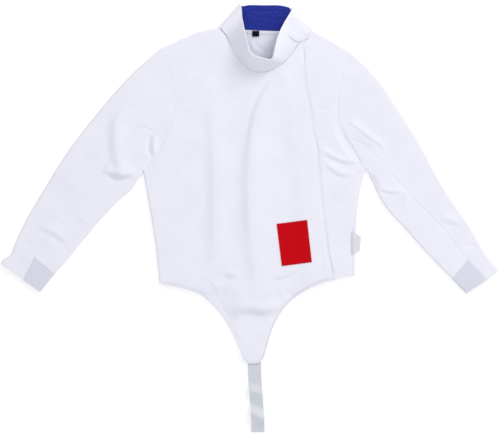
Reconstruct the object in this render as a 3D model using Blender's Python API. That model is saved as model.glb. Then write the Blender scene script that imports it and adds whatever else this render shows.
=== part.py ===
"""A fencing jacket laid flat on its back: a wrap-over front with a pointed tongue, a stand collar,
two-piece sleeves with elastic wrist insets and an elastic strap at the tongue. Sizes are in millimetres.
Right and left are the wearer's. x runs to the left side, y to the collar and z up from the surface that the
jacket lies on. The origin is on that surface, on the centre line at the chest line."""

import math

import bpy
import numpy as np
from mathutils import Vector

MM = 0.001

# Cloth and trim thicknesses
CLOTH = 2.3
ELASTIC = 1.6
LINING = 1.0
TRIM = 0.8
SEAM = 0.3

# How the layers lie on each other
FLAT_TOP = 7.4
EDGE_MID = 3.7
EDGE_ROUND = 4.8
NEAR_EDGE = (1.0, 2.6, 4.8)
ON_EDGE = 0.05
FLOOR_CLEARANCE = 0.3
LOWEST_MIDDLE = 1.3
TRIM_GAP = 0.4
UNDERLAP = 38.0
UNDERLAP_EASE = (4.0, 44.0)
OVERLAP_LIFT = CLOTH + 0.5
OVER_STRAP_EASE = (18.0, 42.0)
STRAP_LAYER_EASE = (8.0, 30.0)
BACK_HEM_EASE = (38.0, 4.0)

# Main lengths
BACK_HEM = -262.0
TONGUE_POINT = -445.0
STRAP_WIDTH = 30.0
STRAP_END = -600.0
STRAP_START = -425.0
STRAP_TOP_X = 1.0
STRAP_END_X = 9.0
BINDING_WIDTH = 5.0
NECK_TAPE_WIDTH = 5.0

# Outlines, each from the collar or the shoulder down
RIGHT_SHOULDER = [(-216, 278), (-170, 299), (-124, 318), (-82, 327)]
LEFT_SHOULDER = [(137, 319), (154, 311), (175, 299), (198, 285), (224, 269)]
RIGHT_SIDE = [(-255, -3), (-245, -60), (-235, -117), (-225, -184), (-221, -225), (-217, -261)]
LEFT_SIDE = [(256, 1), (249, -23), (239, -80), (235, -138), (233, -184), (233, -243)]
LEFT_FRONT_EDGE = [(256, 1), (245, -30), (238, -69), (231, -110), (227, -143), (226, -243)]
RIGHT_ARMHOLE = [
    (-216, 278), (-198, 239), (-187, 189), (-186, 150), (-191, 108), (-207, 69), (-223, 39), (-255, -3),
]
LEFT_ARMHOLE = [(224, 269), (206, 230), (195, 189), (192, 150), (194, 113), (205, 80), (225, 46), (256, 1)]
RIGHT_BACK_ARMHOLE = [(-216, 278), (-200, 230), (-195, 172), (-200, 115), (-216, 62), (-237, 23), (-255, -3)]
LEFT_BACK_ARMHOLE = [(224, 269), (209, 225), (204, 172), (206, 115), (221, 62), (240, 25), (256, 1)]
CLOSURE = [
    (113, 303), (116, 253), (120, 207), (128, 161), (144, 57), (153, -10), (162, -103), (176, -207),
    (183, -253),
]
RIGHT_HEM = [
    (-217, -261), (-154, -275), (-126, -285), (-101, -305), (-78, -329), (-57, -361), (-41, -393),
    (-29, -423),
]
TONGUE_END = [(-29, -423), (-22, -439), (-14, -444), (0, -445), (13, -443), (20, -435), (28, -411)]
LEFT_HEM = [
    (28, -411), (36, -384), (48, -353), (64, -325), (85, -301), (110, -282), (140, -266), (175, -254),
    (183, -253),
]
SIDE_HEM = [(183, -253), (202, -247), (226, -243)]

# The sleeves. The inset starts across the under sleeve at inset_seam and inset_fold.
SLEEVES = {
    "right": dict(
        outer=[
            (-216, 278), (-271, 230), (-354, 138), (-425, 46), (-483, -46), (-536, -140), (-556, -184),
            (-563, -201), (-582, -217),
        ],
        inner=[(-255, -3), (-283, -46), (-309, -69), (-354, -116), (-393, -162), (-430, -208), (-458, -239)],
        seam=[
            (-209, 66), (-228, 84), (-245, 94), (-267, 92), (-301, 62), (-327, 23), (-370, -30),
            (-428, -104), (-505, -200),
        ],
        armhole=RIGHT_ARMHOLE,
        back_armhole=RIGHT_BACK_ARMHOLE,
        wrist_outer=(-582, -217),
        wrist_seam=(-532, -253),
        wrist_fold=(-492, -281),
    ),
    "left": dict(
        outer=[
            (224, 269), (267, 230), (334, 138), (389, 46), (439, -46), (501, -138), (527, -184),
            (562, -231),
        ],
        inner=[
            (256, 1), (273, -22), (290, -66), (308, -92), (350, -138), (391, -184), (435, -230),
            (455, -250),
        ],
        seam=[(209, 72), (245, 62), (290, 22), (350, -48), (428, -127), (492, -207)],
        armhole=LEFT_ARMHOLE,
        back_armhole=LEFT_BACK_ARMHOLE,
        wrist_outer=(562, -231),
        wrist_seam=(536, -252),
        wrist_fold=(488, -284),
    ),
}

# The collar round the neck, as sections from the neck seam to the top edge.
# Columns: where, seam x, y, z, top edge x, y, z. The wall lies half on each side of these points.
COLLAR = [
    ("right joint", -60, 306, 8.5, -26, 333, 32),
    ("right turn", -69, 317, 8.0, -31, 348, 18),
    ("right fold high", -76.8, 326.6, 7.4, -31.8, 373, 8.2),
    ("right fold", -79.2, 329, 4.4, -34, 377, 4.6),
    ("right fold low", -77, 327, 1.3, -31.8, 375, 1.3),
    ("back right", -25, 321.5, 1.3, -9, 378, 1.3),
    ("back middle", 25, 319, 1.3, 25, 377, 1.3),
    ("back left", 83, 318, 1.3, 60, 377, 1.3),
    ("left fold low", 132.3, 319, 1.3, 85.3, 369, 1.3),
    ("left fold", 134.5, 321, 4.4, 87.5, 371, 4.6),
    ("left fold high", 132, 318.4, 7.4, 85, 367, 8.6),
    ("left turn", 115, 303, 8.2, 71, 336, 24),
    ("left joint", 99, 286, 8.6, 57, 315, 38),
    ("left front", 80, 260, 8.6, 46, 281, 49),
    ("front left", 56, 238, 8.4, 40, 256, 52),
    ("front middle", 20, 226, 8.2, 20, 254, 52),
    ("front right", -15, 238, 8.4, -6, 266, 50),
    ("right front", -41, 272, 8.5, -15, 291, 44),
    ("right joint", -60, 306, 8.5, -26, 333, 32),
]

# The largest folds. Columns: where, the crest's path, its height, and how far it falls off from the crest
# to the wearer's right side and to their left.
WRAP_FOLD = [(71, 222), (41, 200), (16, 152), (0, 106), (-7, 30), (-10, -28), (-3, -172), (6, -246)]
RIGHT_ELBOW_FOLD = [(-290, 148), (-313, 118), (-318, 66), (-312, 20), (-300, -22)]
FOLDS = [
    ("wrap fold", WRAP_FOLD, 6.5, 26, 62),
    ("right front fold", [(-100, 130), (-90, -23), (-90, -236)], 3.2, 24, 46),
    ("right chest arc", [(-136, 180), (-113, 210), (-80, 204)], 2.4, 20, 20),
    ("right shoulder fold", [(-172, 160), (-143, 222)], 2.4, 18, 20),
    ("left chest fold", [(150, 60), (185, 24), (240, 14)], 3.0, 17, 17),
    ("left side fold", [(156, 10), (182, -12), (222, -18)], 2.4, 17, 17),
    ("tongue fold", [(-60, -322), (-9, -312), (37, -312), (66, -294)], 2.6, 17, 17),
    ("right elbow fold", RIGHT_ELBOW_FOLD, 5.0, 22, 24),
    ("right underarm fold", [(-343, -12), (-281, -18)], 3.6, 17, 17),
    ("right armhole fold", [(-232, 80), (-240, 30)], 3.0, 15, 15),
    ("right wrist fold", [(-500, -138), (-462, -148), (-436, -172)], 3.2, 17, 17),
    ("left armhole fold", [(212, 112), (255, 76), (306, 36)], 4.4, 20, 20),
    ("left notch fold", [(292, -46), (344, -56)], 3.2, 15, 15),
    ("left forearm fold", [(428, -108), (478, -128)], 2.6, 17, 17),
]

# Trim on the panels. Corners run: top right of the garment, top left, bottom left, bottom right.
PATCH_CORNERS = [(52, -124), (122, -115), (133, -212), (64, -221)]
NECK_LOOP_CORNERS = [(34, 290), (50, 305), (62, 292), (43, 276)]
SIZE_LABEL = dict(left=-4, right=12, top=320, bottom=307)
CARE_LABEL_CORNERS = [(221, -137), (246, -154), (243, -186), (222, -196)]
CARE_LABEL_TOP = 9.2
CARE_LABEL_TIP = 1.6

# The strap's middle, as y and z: the waves that show and the return along the surface.
STRAP_WAVES = [
    (STRAP_START, 2.9), (-455, 2.9), (-490, 3.4), (-507, 8.0), (-527, 3.8), (-553, 7.6), (-578, 4.4),
    (-592, 3.9), (STRAP_END + 2.6, 3.6), (STRAP_END + 1.0, 2.3), (STRAP_END + 2.8, 1.0),
]
STRAP_RETURN = [(STRAP_END + 2.8, 1.0), (-570, 1.0), (BACK_HEM - 0.7, 1.0)]


def lengths(line):
    """The length along a line up to each of its points."""
    return np.concatenate([[0], np.cumsum(np.linalg.norm(np.diff(line, axis=0), axis=1))])


STEPS = 14


def smooth(points, steps=STEPS):
    """A dense line through a few points, curved between them."""
    p = np.array(points, float)
    if len(p) < 3:
        share = np.linspace(0, 1, steps)[:, None]
        return p[0] * (1 - share) + p[-1] * share
    t = lengths(p)
    slope = np.gradient(p, t, axis=0)
    at = np.concatenate([np.linspace(a, b, steps, endpoint=False) for a, b in zip(t, t[1:])] + [t[-1:]])
    i = np.clip(np.searchsorted(t, at, side="right") - 1, 0, len(t) - 2)
    h = (t[i + 1] - t[i])[:, None]
    u = (at - t[i])[:, None] / h
    start = (1 + 2 * u) * (1 - u) ** 2 * p[i] + u * (1 - u) ** 2 * h * slope[i]
    end = u * u * (3 - 2 * u) * p[i + 1] + u * u * (u - 1) * h * slope[i + 1]
    return start + end


def along(line, shares):
    """The points at these shares of a line's length."""
    t = lengths(line)
    at = np.asarray(shares) * t[-1]
    return np.stack([np.interp(at, t, line[:, k]) for k in range(line.shape[1])], axis=1)


def between(top, bottom, start, end):
    """A grid filled in between four edges. Rows run from top to bottom and columns from start to end."""
    a = (lengths(top) / lengths(top)[-1])[None, :, None]
    d = (lengths(start) / lengths(start)[-1])[:, None, None]
    rows = (1 - d) * top[None] + d * bottom[None]
    columns = (1 - a) * start[:, None] + a * end[:, None]
    corners = (1 - d) * ((1 - a) * top[0] + a * top[-1]) + d * ((1 - a) * bottom[0] + a * bottom[-1])
    return rows + columns - corners


def fine_columns(plan, sides):
    """The grid with close columns added beside its closed edges."""
    columns = [plan[:, :1], plan[:, 1:-1], plan[:, -1:]]
    for side, edge, inside in (("start", 0, 1), ("end", -1, -2)):
        if side in sides:
            run = plan[:, inside] - plan[:, edge]
            run /= np.linalg.norm(run, axis=-1)[:, None]
            near = [(plan[:, edge] + d * run)[:, None] for d in NEAR_EDGE]
            near = [columns[0], *near] if edge == 0 else [*near[::-1], columns[-1]]
            columns[edge] = np.concatenate(near, axis=1)
    return np.concatenate(columns, axis=1)


def fine_rows(plan):
    """The grid with close rows added below its top edge."""
    return fine_columns(plan.transpose(1, 0, 2), ["start"]).transpose(1, 0, 2)


def distance(xy, line):
    """How far points are from a line, and on which side of it, positive to the left of its direction."""
    a, b = line[:-1], line[1:]
    ab = b - a
    size = np.maximum((ab * ab).sum(1), 1e-12)
    flat = xy.reshape(-1, 2)
    best = np.full(len(flat), np.inf)
    side = np.ones(len(flat))
    share = np.zeros(len(flat))
    t = lengths(line)
    for i in range(len(a)):
        u = np.clip(((flat - a[i]) @ ab[i]) / size[i], 0, 1)
        gap = flat - a[i] - u[:, None] * ab[i]
        d = np.hypot(gap[:, 0], gap[:, 1])
        near = d < best
        best[near] = d[near]
        side[near] = np.sign(ab[i][0] * gap[near, 1] - ab[i][1] * gap[near, 0])
        share[near] = (t[i] + u[near] * (t[i + 1] - t[i])) / t[-1]
    shape = xy.shape[:-1]
    return best.reshape(shape), side.reshape(shape), share.reshape(shape)


def soft_step(value, low, high):
    u = np.clip((value - low) / (high - low), 0, 1)
    return u * u * (3 - 2 * u)


def collar_line(first, last):
    """The collar's sections between two of its named rows, as a smooth line of six-number points."""
    names = [row[0] for row in COLLAR]
    start, end = names.index(first), len(names) - 1 - names[::-1].index(last)
    whole = smooth([row[1:] for row in COLLAR])
    return whole[start * STEPS : end * STEPS + 1]


def neck_seam(first, last, out):
    """The panels' edge at the neck seam: the collar's seam line in plan, moved out from the collar."""
    line = collar_line(first, last)[:, :2]
    run = np.gradient(line, axis=0)
    run /= np.linalg.norm(run, axis=1)[:, None]
    return line + out * np.stack([-run[:, 1], run[:, 0]], axis=1)


NECK_GAP = CLOTH / 2 + 2 * SEAM
FRONT_NECK = neck_seam("left fold", "right joint", NECK_GAP)
RIGHT_NECK = neck_seam("right joint", "right fold", NECK_GAP)


def silhouette(front):
    """The garment's closed edges, each as a line and 1 where the outside is on its left hand, or -1."""
    left_side = LEFT_FRONT_EDGE if front else LEFT_SIDE
    sides = (("right", RIGHT_SHOULDER, RIGHT_SIDE, -1), ("left", LEFT_SHOULDER, left_side, 1))
    lines = []
    for side, shoulder, edge, hand in sides:
        sleeve = SLEEVES[side]
        lines.append((smooth(shoulder), 1))
        lines.append((smooth(edge), hand))
        lines.append((smooth(sleeve["outer"]), hand))
        lines.append((smooth(sleeve["inner"]), -hand))
        lines.append((smooth([sleeve["inner"][-1], sleeve["wrist_fold"]]), -hand))
    return lines


CLOSED_EDGES = {True: silhouette(True), False: silhouette(False)}
FOLD_LINES = [(smooth(path), height, right, left) for _, path, height, right, left in FOLDS]


def from_edge(xy, front):
    return np.min([distance(xy, line)[0] for line, _ in CLOSED_EDGES[front]], axis=0)


def outward(point, front):
    """The level direction out of the garment at a point on its closed edge, halfway where two edges meet."""
    total = np.zeros(2)
    for line, hand in CLOSED_EDGES[front]:
        if distance(point[None], line)[0][0] < ON_EDGE:
            i = int(np.clip(np.linalg.norm(line - point, axis=1).argmin(), 1, len(line) - 2))
            run = line[i + 1] - line[i - 1]
            total += hand * np.array([-run[1], run[0]]) / np.linalg.norm(run)
    return total / np.linalg.norm(total)


def rounding(distance_in):
    """0 at a closed edge, 1 from EDGE_ROUND inside it, along a quarter ellipse."""
    u = np.clip(distance_in / EDGE_ROUND, 0, 1)
    return np.sqrt(np.maximum(1 - (1 - u) ** 2, 0))


def folds(xy):
    total = np.zeros(xy.shape[:-1])
    for line, height, right, left in FOLD_LINES:
        d, side, share = distance(xy, line)
        # A crest that runs down the garment has the right side of the garment on its left hand.
        down = line[-1, 1] < line[0, 1]
        width = np.where((side < 0) == down, right, left)
        taper = np.sin(np.pi * np.clip(share, 0.06, 0.94)) ** 0.6
        total += height * taper * np.exp(-((d / width * 1.5) ** 2))
    return total


def strap_x(y):
    """The strap's centre line, which drifts to the left side."""
    return STRAP_TOP_X + (STRAP_END_X - STRAP_TOP_X) * soft_step(-y, -TONGUE_POINT, -STRAP_END)


def lying_height(xy):
    """The top of the front: on the back, and below the back's hem on the surface and the strap."""
    x, y = xy[..., 0], xy[..., 1]
    beside = np.abs(x - strap_x(y)) - STRAP_WIDTH / 2
    over_strap = 1 - soft_step(beside, *OVER_STRAP_EASE)
    above = y - STRAP_START
    layers = (ELASTIC + SEAM) * (2 - soft_step(above, *STRAP_LAYER_EASE))
    tongue = FLOOR_CLEARANCE + CLOTH + layers * over_strap
    on_back = soft_step(y - BACK_HEM, -BACK_HEM_EASE[0], -BACK_HEM_EASE[1])
    return tongue + (FLAT_TOP - tongue) * on_back


def closure_lift(xy):
    """How far the overlapping front is raised by the underlap beneath it."""
    d, side, _ = distance(xy, smooth(CLOSURE))
    inside = np.where(side < 0, d, -d)
    return OVERLAP_LIFT * (1 - soft_step(inside - UNDERLAP, *UNDERLAP_EASE))


def top_height(xy, raised=False):
    """The outer surface of the layers that face up."""
    height = lying_height(xy) + folds(xy)
    if raised:
        height = height + closure_lift(xy)
    low = EDGE_MID + SEAM / 2
    return low + (height - low) * rounding(from_edge(xy, True))


def under_height(xy):
    """The outer surface of the layers that lie on the surface."""
    return (EDGE_MID - SEAM / 2) * (1 - rounding(from_edge(xy, False)))


def with_height(plan, height):
    return np.concatenate([plan, height(plan)[..., None]], axis=-1)


def grid_normals(grid):
    """Unit normals of a grid, on the side where its rows run down and its columns to the right."""
    n = np.cross(np.gradient(grid, axis=0), np.gradient(grid, axis=1))
    return n / np.maximum(np.linalg.norm(n, axis=-1), 1e-9)[..., None]


def surface_normals(grid, height, facing):
    """Normals of a grid on a height function, level where the cloth turns round a closed edge."""
    plan = grid[..., :2]
    step = 0.3
    slope = [(height(plan + move) - height(plan - move)) / (2 * step) for move in np.eye(2) * step]
    n = facing * np.stack([-slope[0], -slope[1], np.ones_like(slope[0])], axis=-1)
    n /= np.linalg.norm(n, axis=-1)[..., None]
    for i, j in np.argwhere(from_edge(plan, facing > 0) < ON_EDGE):
        n[i, j] = [*outward(plan[i, j], facing > 0), 0]
    return n


def keep_to_seam(normals, grid, stretch):
    """Turns the normals along a seam into its upright plane, so that two pieces' edges stay face to face."""
    run = np.gradient(grid[stretch][:, :2], axis=0)
    run /= np.linalg.norm(run, axis=1)[:, None]
    n = normals[stretch]
    n[:, :2] = (n[:, :2] * run).sum(axis=1)[:, None] * run
    normals[stretch] = n / np.linalg.norm(n, axis=1)[:, None]


def pulled_in(grid, sides, gap=SEAM / 2):
    """The grid with the named sides moved in by half a seam's gap."""
    g = grid.copy()
    pairs = {"top": (np.s_[0], np.s_[1]), "bottom": (np.s_[-1], np.s_[-2])}
    pairs |= {"start": (np.s_[:, 0], np.s_[:, 1]), "end": (np.s_[:, -1], np.s_[:, -2])}
    for side in sides:
        edge, inside = pairs[side]
        run = g[inside] - g[edge]
        g[edge] += gap * run / np.linalg.norm(run, axis=-1)[..., None]
    return g


def material(name, colour, roughness, metallic=0.0):
    made = bpy.data.materials.new(name)
    made.use_nodes = True
    shader = made.node_tree.nodes["Principled BSDF"]
    shader.inputs["Base Color"].default_value = (*colour, 1)
    shader.inputs["Roughness"].default_value = roughness
    shader.inputs["Metallic"].default_value = metallic
    return made


def wall(name, outer, normals, thickness, look):
    """A closed wall of cloth between a grid of outer points and the same points moved in."""
    inner = outer - normals * thickness
    rows, columns = outer.shape[:2]
    number = np.arange(rows * columns).reshape(rows, columns)
    a, b, c, d = number[:-1, :-1], number[:-1, 1:], number[1:, 1:], number[1:, :-1]
    faces = np.stack([a, d, c, b], axis=-1).reshape(-1, 4).tolist()
    other = rows * columns
    faces += (np.stack([a, b, c, d], axis=-1).reshape(-1, 4) + other).tolist()
    loop = [*number[0, :-1], *number[:-1, -1], *number[-1, :0:-1], *number[:0:-1, 0]]
    for here, there in zip(loop, loop[1:] + loop[:1]):
        faces.append([int(here), int(there), int(there) + other, int(here) + other])
    points = np.concatenate([outer.reshape(-1, 3), inner.reshape(-1, 3)]) * MM
    mesh = bpy.data.meshes.new(name)
    mesh.from_pydata(points.tolist(), [], faces)
    mesh.materials.append(LOOKS[look])
    mesh.shade_smooth()
    mesh.set_sharp_from_angle(angle=math.radians(50))
    piece = bpy.data.objects.new(name, mesh)
    bpy.context.scene.collection.objects.link(piece)
    return piece


BODY_ROWS = 25
UNDERARM_ROW = 14
RIGHT_COLUMNS = 26
LEFT_COLUMNS = 5
BACK_ROWS = 14
BACK_UNDERARM_ROW = 8
BACK_COLUMNS = 22


def side_points(armhole, side, underarm_row, rows):
    """A body edge from the shoulder point to the hem, with the underarm at its own row."""
    upper = along(smooth(armhole), np.linspace(0, 1, underarm_row + 1))
    lower = along(smooth(side), np.linspace(0, 1, rows - underarm_row + 1))
    return np.concatenate([upper, lower[1:]])


def front_plans():
    """Plan grids of the front, right and left of the closure line."""
    even = np.linspace(0, 1, BODY_ROWS + 1)
    closure = along(smooth(CLOSURE), even)
    split = int(np.linalg.norm(FRONT_NECK - closure[0], axis=1).argmin())
    closure[0] = FRONT_NECK[split]
    to_neck = [smooth(RIGHT_SHOULDER)[:-1], RIGHT_NECK[::-1], FRONT_NECK[::-1][1 : len(FRONT_NECK) - split]]
    hem = [smooth(RIGHT_HEM)[:-1], smooth(TONGUE_END), smooth(LEFT_HEM)[1:]]
    across = np.linspace(0, 1, RIGHT_COLUMNS + 1)
    right = between(
        along(np.concatenate(to_neck), across),
        along(np.concatenate(hem), across),
        side_points(RIGHT_ARMHOLE, RIGHT_SIDE, UNDERARM_ROW, BODY_ROWS),
        closure,
    )
    across = np.linspace(0, 1, LEFT_COLUMNS + 1)
    left = between(
        along(np.concatenate([FRONT_NECK[: split + 1][::-1], smooth(LEFT_SHOULDER)]), across),
        along(smooth(SIDE_HEM), across),
        closure,
        side_points(LEFT_ARMHOLE, LEFT_FRONT_EDGE, UNDERARM_ROW, BODY_ROWS),
    )
    return right, left


def raised_height(xy):
    return top_height(xy, raised=True)


def build_front():
    """The two fronts. The left one starts with the columns of the right one that it lies under. It gives the
    right one's object and grid."""
    right, left = front_plans()
    run = np.linalg.norm(right[:, ::-1] - right[:, -1:], axis=-1)
    lap = int((run.max(axis=0) < UNDERLAP).sum())
    main = with_height(fine_rows(fine_columns(right, ["start"])), raised_height)
    main_normals = surface_normals(main, raised_height, 1)
    armhole = slice(0, UNDERARM_ROW + len(NEAR_EDGE) + 1)
    keep_to_seam(main_normals, main, np.s_[armhole, 0])
    main = pulled_in(main, ["start", "top"])
    over = wall("front_main", main, main_normals, CLOTH, "cloth")
    side = np.concatenate([right[:, -lap:-1], left], axis=1)
    side = with_height(fine_rows(fine_columns(side, ["end"])), top_height)
    side_normals = surface_normals(side, top_height, 1)
    keep_to_seam(side_normals, side, np.s_[armhole, -1])
    wall("front_side", pulled_in(side, ["end", "top"]), side_normals, CLOTH, "cloth")
    return over, main


def build_back():
    neck = collar_line("right fold low", "left fold low")[:, :2] - np.array([0, 4 * SEAM])
    top = np.concatenate([smooth(RIGHT_SHOULDER), neck, smooth(LEFT_SHOULDER)])
    across = np.linspace(0, 1, BACK_COLUMNS + 1)
    hem = [RIGHT_SIDE[-1], (STRAP_TOP_X, BACK_HEM), LEFT_SIDE[-1]]
    plan = between(
        along(top, across),
        along(smooth(hem), across),
        side_points(RIGHT_BACK_ARMHOLE, RIGHT_SIDE, BACK_UNDERARM_ROW, BACK_ROWS),
        side_points(LEFT_BACK_ARMHOLE, LEFT_SIDE, BACK_UNDERARM_ROW, BACK_ROWS),
    )
    grid = with_height(fine_rows(fine_columns(plan, ["start", "end"])), under_height)[:, ::-1]
    normals = surface_normals(grid, under_height, -1)
    armhole = slice(0, BACK_UNDERARM_ROW + len(NEAR_EDGE) + 1)
    keep_to_seam(normals, grid, np.s_[armhole, 0])
    keep_to_seam(normals, grid, np.s_[armhole, -1])
    return wall("back", pulled_in(grid, ["start", "end", "top"]), normals, CLOTH, "cloth")


SLEEVE_ROWS = 13
INSET_ROWS = 2


def sleeve_piece(name, thickness, look, fold, over, under):
    """A C-shaped piece round a closed edge of a sleeve. over and under each give the edges of a face of it:
    the start and end from the fold to the seam, and the seam, point for point with the fold."""
    over_plan = fine_columns(between(over["start"], over["end"], fold, over["seam"]), ["start"])
    under_plan = fine_columns(between(under["start"], under["end"], fold, under["seam"]), ["start"])
    over_grid = with_height(over_plan, top_height)
    over_grid[:, 0, 2] = EDGE_MID
    under_grid = with_height(under_plan, under_height)
    grid = np.concatenate([under_grid[:, :0:-1], over_grid], axis=1)
    over_normals = surface_normals(over_grid, top_height, 1)
    under_normals = surface_normals(under_grid, under_height, -1)
    normals = np.concatenate([under_normals[:, :0:-1], over_normals], axis=1)
    middle = under_plan.shape[1] - 1
    for stretch in (np.s_[0, :middle], np.s_[0, middle + 1 :], np.s_[:, 0], np.s_[:, -1]):
        keep_to_seam(normals, grid, stretch)
    into = over_plan[0, 1] - over_plan[0, 0] + under_plan[0, 1] - under_plan[0, 0]
    normals[0, middle] = [*(-into / np.linalg.norm(into)), 0]
    if grid_normals(grid)[0, -2, 2] < 0:
        grid, normals = grid[:, ::-1], normals[:, ::-1]
    grid = pulled_in(grid, ["top", "bottom", "start", "end"])
    return wall(name, grid, normals, thickness, look)


def even_between(a, b, like):
    """Points from a to b, spaced as the points of another line are."""
    share = (lengths(like) / lengths(like)[-1])[:, None]
    return (1 - share) * np.array(a, float) + share * np.array(b, float)


def build_sleeve(side):
    s = SLEEVES[side]
    armhole = along(smooth(s["armhole"]), np.linspace(0, 1, UNDERARM_ROW + 1))
    back_armhole = along(smooth(s["back_armhole"]), np.linspace(0, 1, BACK_UNDERARM_ROW + 1))
    even = np.linspace(0, 1, SLEEVE_ROWS + 1)
    inset = np.linspace(0, 1, INSET_ROWS + 1)
    k = int(np.linalg.norm(armhole - np.array(s["seam"][0]), axis=1).argmin())
    seam = along(smooth([tuple(armhole[k])] + s["seam"][1:]), even)
    outer = along(smooth(s["outer"]), np.linspace(0, 1, SLEEVE_ROWS + INSET_ROWS + 1))
    inner = along(smooth(s["inner"]), even)
    half = BACK_UNDERARM_ROW // 2
    elbow = (outer[8] + inner[7]) / 2
    hidden = along(smooth([back_armhole[half], elbow, (inner[-1] + seam[-1]) / 2]), even)
    wrist_middle = (np.array(s["wrist_outer"]) + np.array(s["wrist_fold"])) / 2
    seam_end = along(np.array([seam[-1], s["wrist_seam"]]), inset)
    hidden_end = along(np.array([hidden[-1], wrist_middle]), inset)
    fold_end = along(np.array([inner[-1], s["wrist_fold"]]), inset)
    start = armhole[: k + 1]
    under_start = back_armhole[: half + 1]
    end = even_between(s["wrist_outer"], s["wrist_seam"], start)
    under_end = even_between(s["wrist_outer"], wrist_middle, under_start)
    sleeve_piece(
        f"sleeve_{side}_upper", CLOTH, "cloth", outer,
        dict(start=start, end=end, seam=np.concatenate([seam, seam_end[1:]])),
        dict(start=under_start, end=under_end, seam=np.concatenate([hidden, hidden_end[1:]])),
    )
    start = armhole[k:][::-1]
    under_start = back_armhole[half:][::-1]
    inset_start = even_between(inner[-1], seam[-1], start)
    inset_under_start = even_between(inner[-1], hidden[-1], under_start)
    sleeve_piece(
        f"sleeve_{side}_under", CLOTH, "cloth", inner,
        dict(start=start, end=inset_start, seam=seam),
        dict(start=under_start, end=inset_under_start, seam=hidden),
    )
    end = even_between(s["wrist_fold"], s["wrist_seam"], inset_start)
    under_end = even_between(s["wrist_fold"], wrist_middle, inset_under_start)
    sleeve_piece(
        f"wrist_inset_{side}", ELASTIC, "elastic", fold_end,
        dict(start=inset_start, end=end, seam=seam_end),
        dict(start=inset_under_start, end=under_end, seam=hidden_end),
    )


COLLAR_STEP = 16.0
COLLAR_ROWS = 4


def collar_sections(first, last):
    """Sections of the collar, at least two for each row of its table, as six-number points."""
    line = collar_line(first, last)
    picked = [line[:1]]
    for i in range(0, len(line) - 1, STEPS):
        stretch = line[i : i + STEPS + 1]
        count = max(2, round(lengths(stretch)[-1] / COLLAR_STEP))
        picked.append(along(stretch, np.linspace(0, 1, count + 1)[1:]))
    return np.concatenate(picked)


def collar_grid(section, top_share=0.0, seam_share=1.0, rows=COLLAR_ROWS):
    """Points on the middle of the collar's wall, from its top edge down to the neck seam."""
    down = np.linspace(top_share, seam_share, rows + 1)[:, None, None]
    seam, top = section[None, :, :3], section[None, :, 3:]
    grid = top + (seam - top) * down
    grid[..., 2] = np.maximum(grid[..., 2], LOWEST_MIDDLE)
    return grid


def build_collar():
    """The collar's two pieces, which meet at its joints."""
    joints = ["right joint", "left joint"]
    pieces = []
    for name, ends in (("collar_back", joints), ("collar_front", joints[::-1])):
        grid = pulled_in(collar_grid(collar_sections(*ends)), ["start", "end"], gap=SEAM)
        n = grid_normals(grid)
        away = n[COLLAR_ROWS // 2, grid.shape[1] // 2] @ np.array([0, -1, -1])
        if away < 0:
            grid, n = grid[:, ::-1], -n[:, ::-1]
        pieces.append(wall(name, grid + n * CLOTH / 2, n, CLOTH, "cloth"))
    return pieces


def build_lining():
    """The collar's lining, on the inner side of the stretch that lies flat."""
    grid = collar_grid(collar_sections("right fold low", "left fold low")[1:-1], 0.03, 0.97)
    n = grid_normals(grid)
    if n[0, n.shape[1] // 2, 2] < 0:
        grid, n = grid[:, ::-1], -n[:, ::-1]
    outer = grid + n * (CLOTH / 2 + SEAM + LINING)
    return wall("collar_lining", outer, n, LINING, "lining")


def top_of(pieces, point):
    """The height of the highest of these pieces at a point in plan, or None where there is none."""
    start = Vector((point[0] * MM, point[1] * MM, 1.0))
    hits = [piece.ray_cast(start, Vector((0, 0, -1))) for piece in pieces]
    found = [place.z / MM for hit, place, _, _ in hits if hit]
    return max(found) if found else None


def corners_grid(corners, rows, columns):
    """An even grid over a four-cornered piece: top start, top end, bottom end, bottom start."""
    a, b, c, d = np.array(corners, float)
    down = np.linspace(0, 1, rows + 1)[:, None, None]
    across = np.linspace(0, 1, columns + 1)[None, :, None]
    return (1 - down) * ((1 - across) * a + across * b) + down * ((1 - across) * d + across * c)


NEARBY = np.array([(0, 0), (4, 0), (-4, 0), (0, 4), (0, -4)])


def lay_on(name, pieces, plan, thickness, look, gap=TRIM_GAP):
    """A thin piece laid on others: each of its points is a gap above what lies round it."""
    lifted = np.zeros(plan.shape[:2])
    for i in range(plan.shape[0]):
        for j in range(plan.shape[1]):
            heights = [h for h in (top_of(pieces, p) for p in plan[i, j] + NEARBY) if h is not None]
            lifted[i, j] = max(heights) + gap + thickness
    outer = np.concatenate([plan, lifted[..., None]], axis=-1)
    return wall(name, outer, grid_normals(outer), thickness, look)


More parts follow.
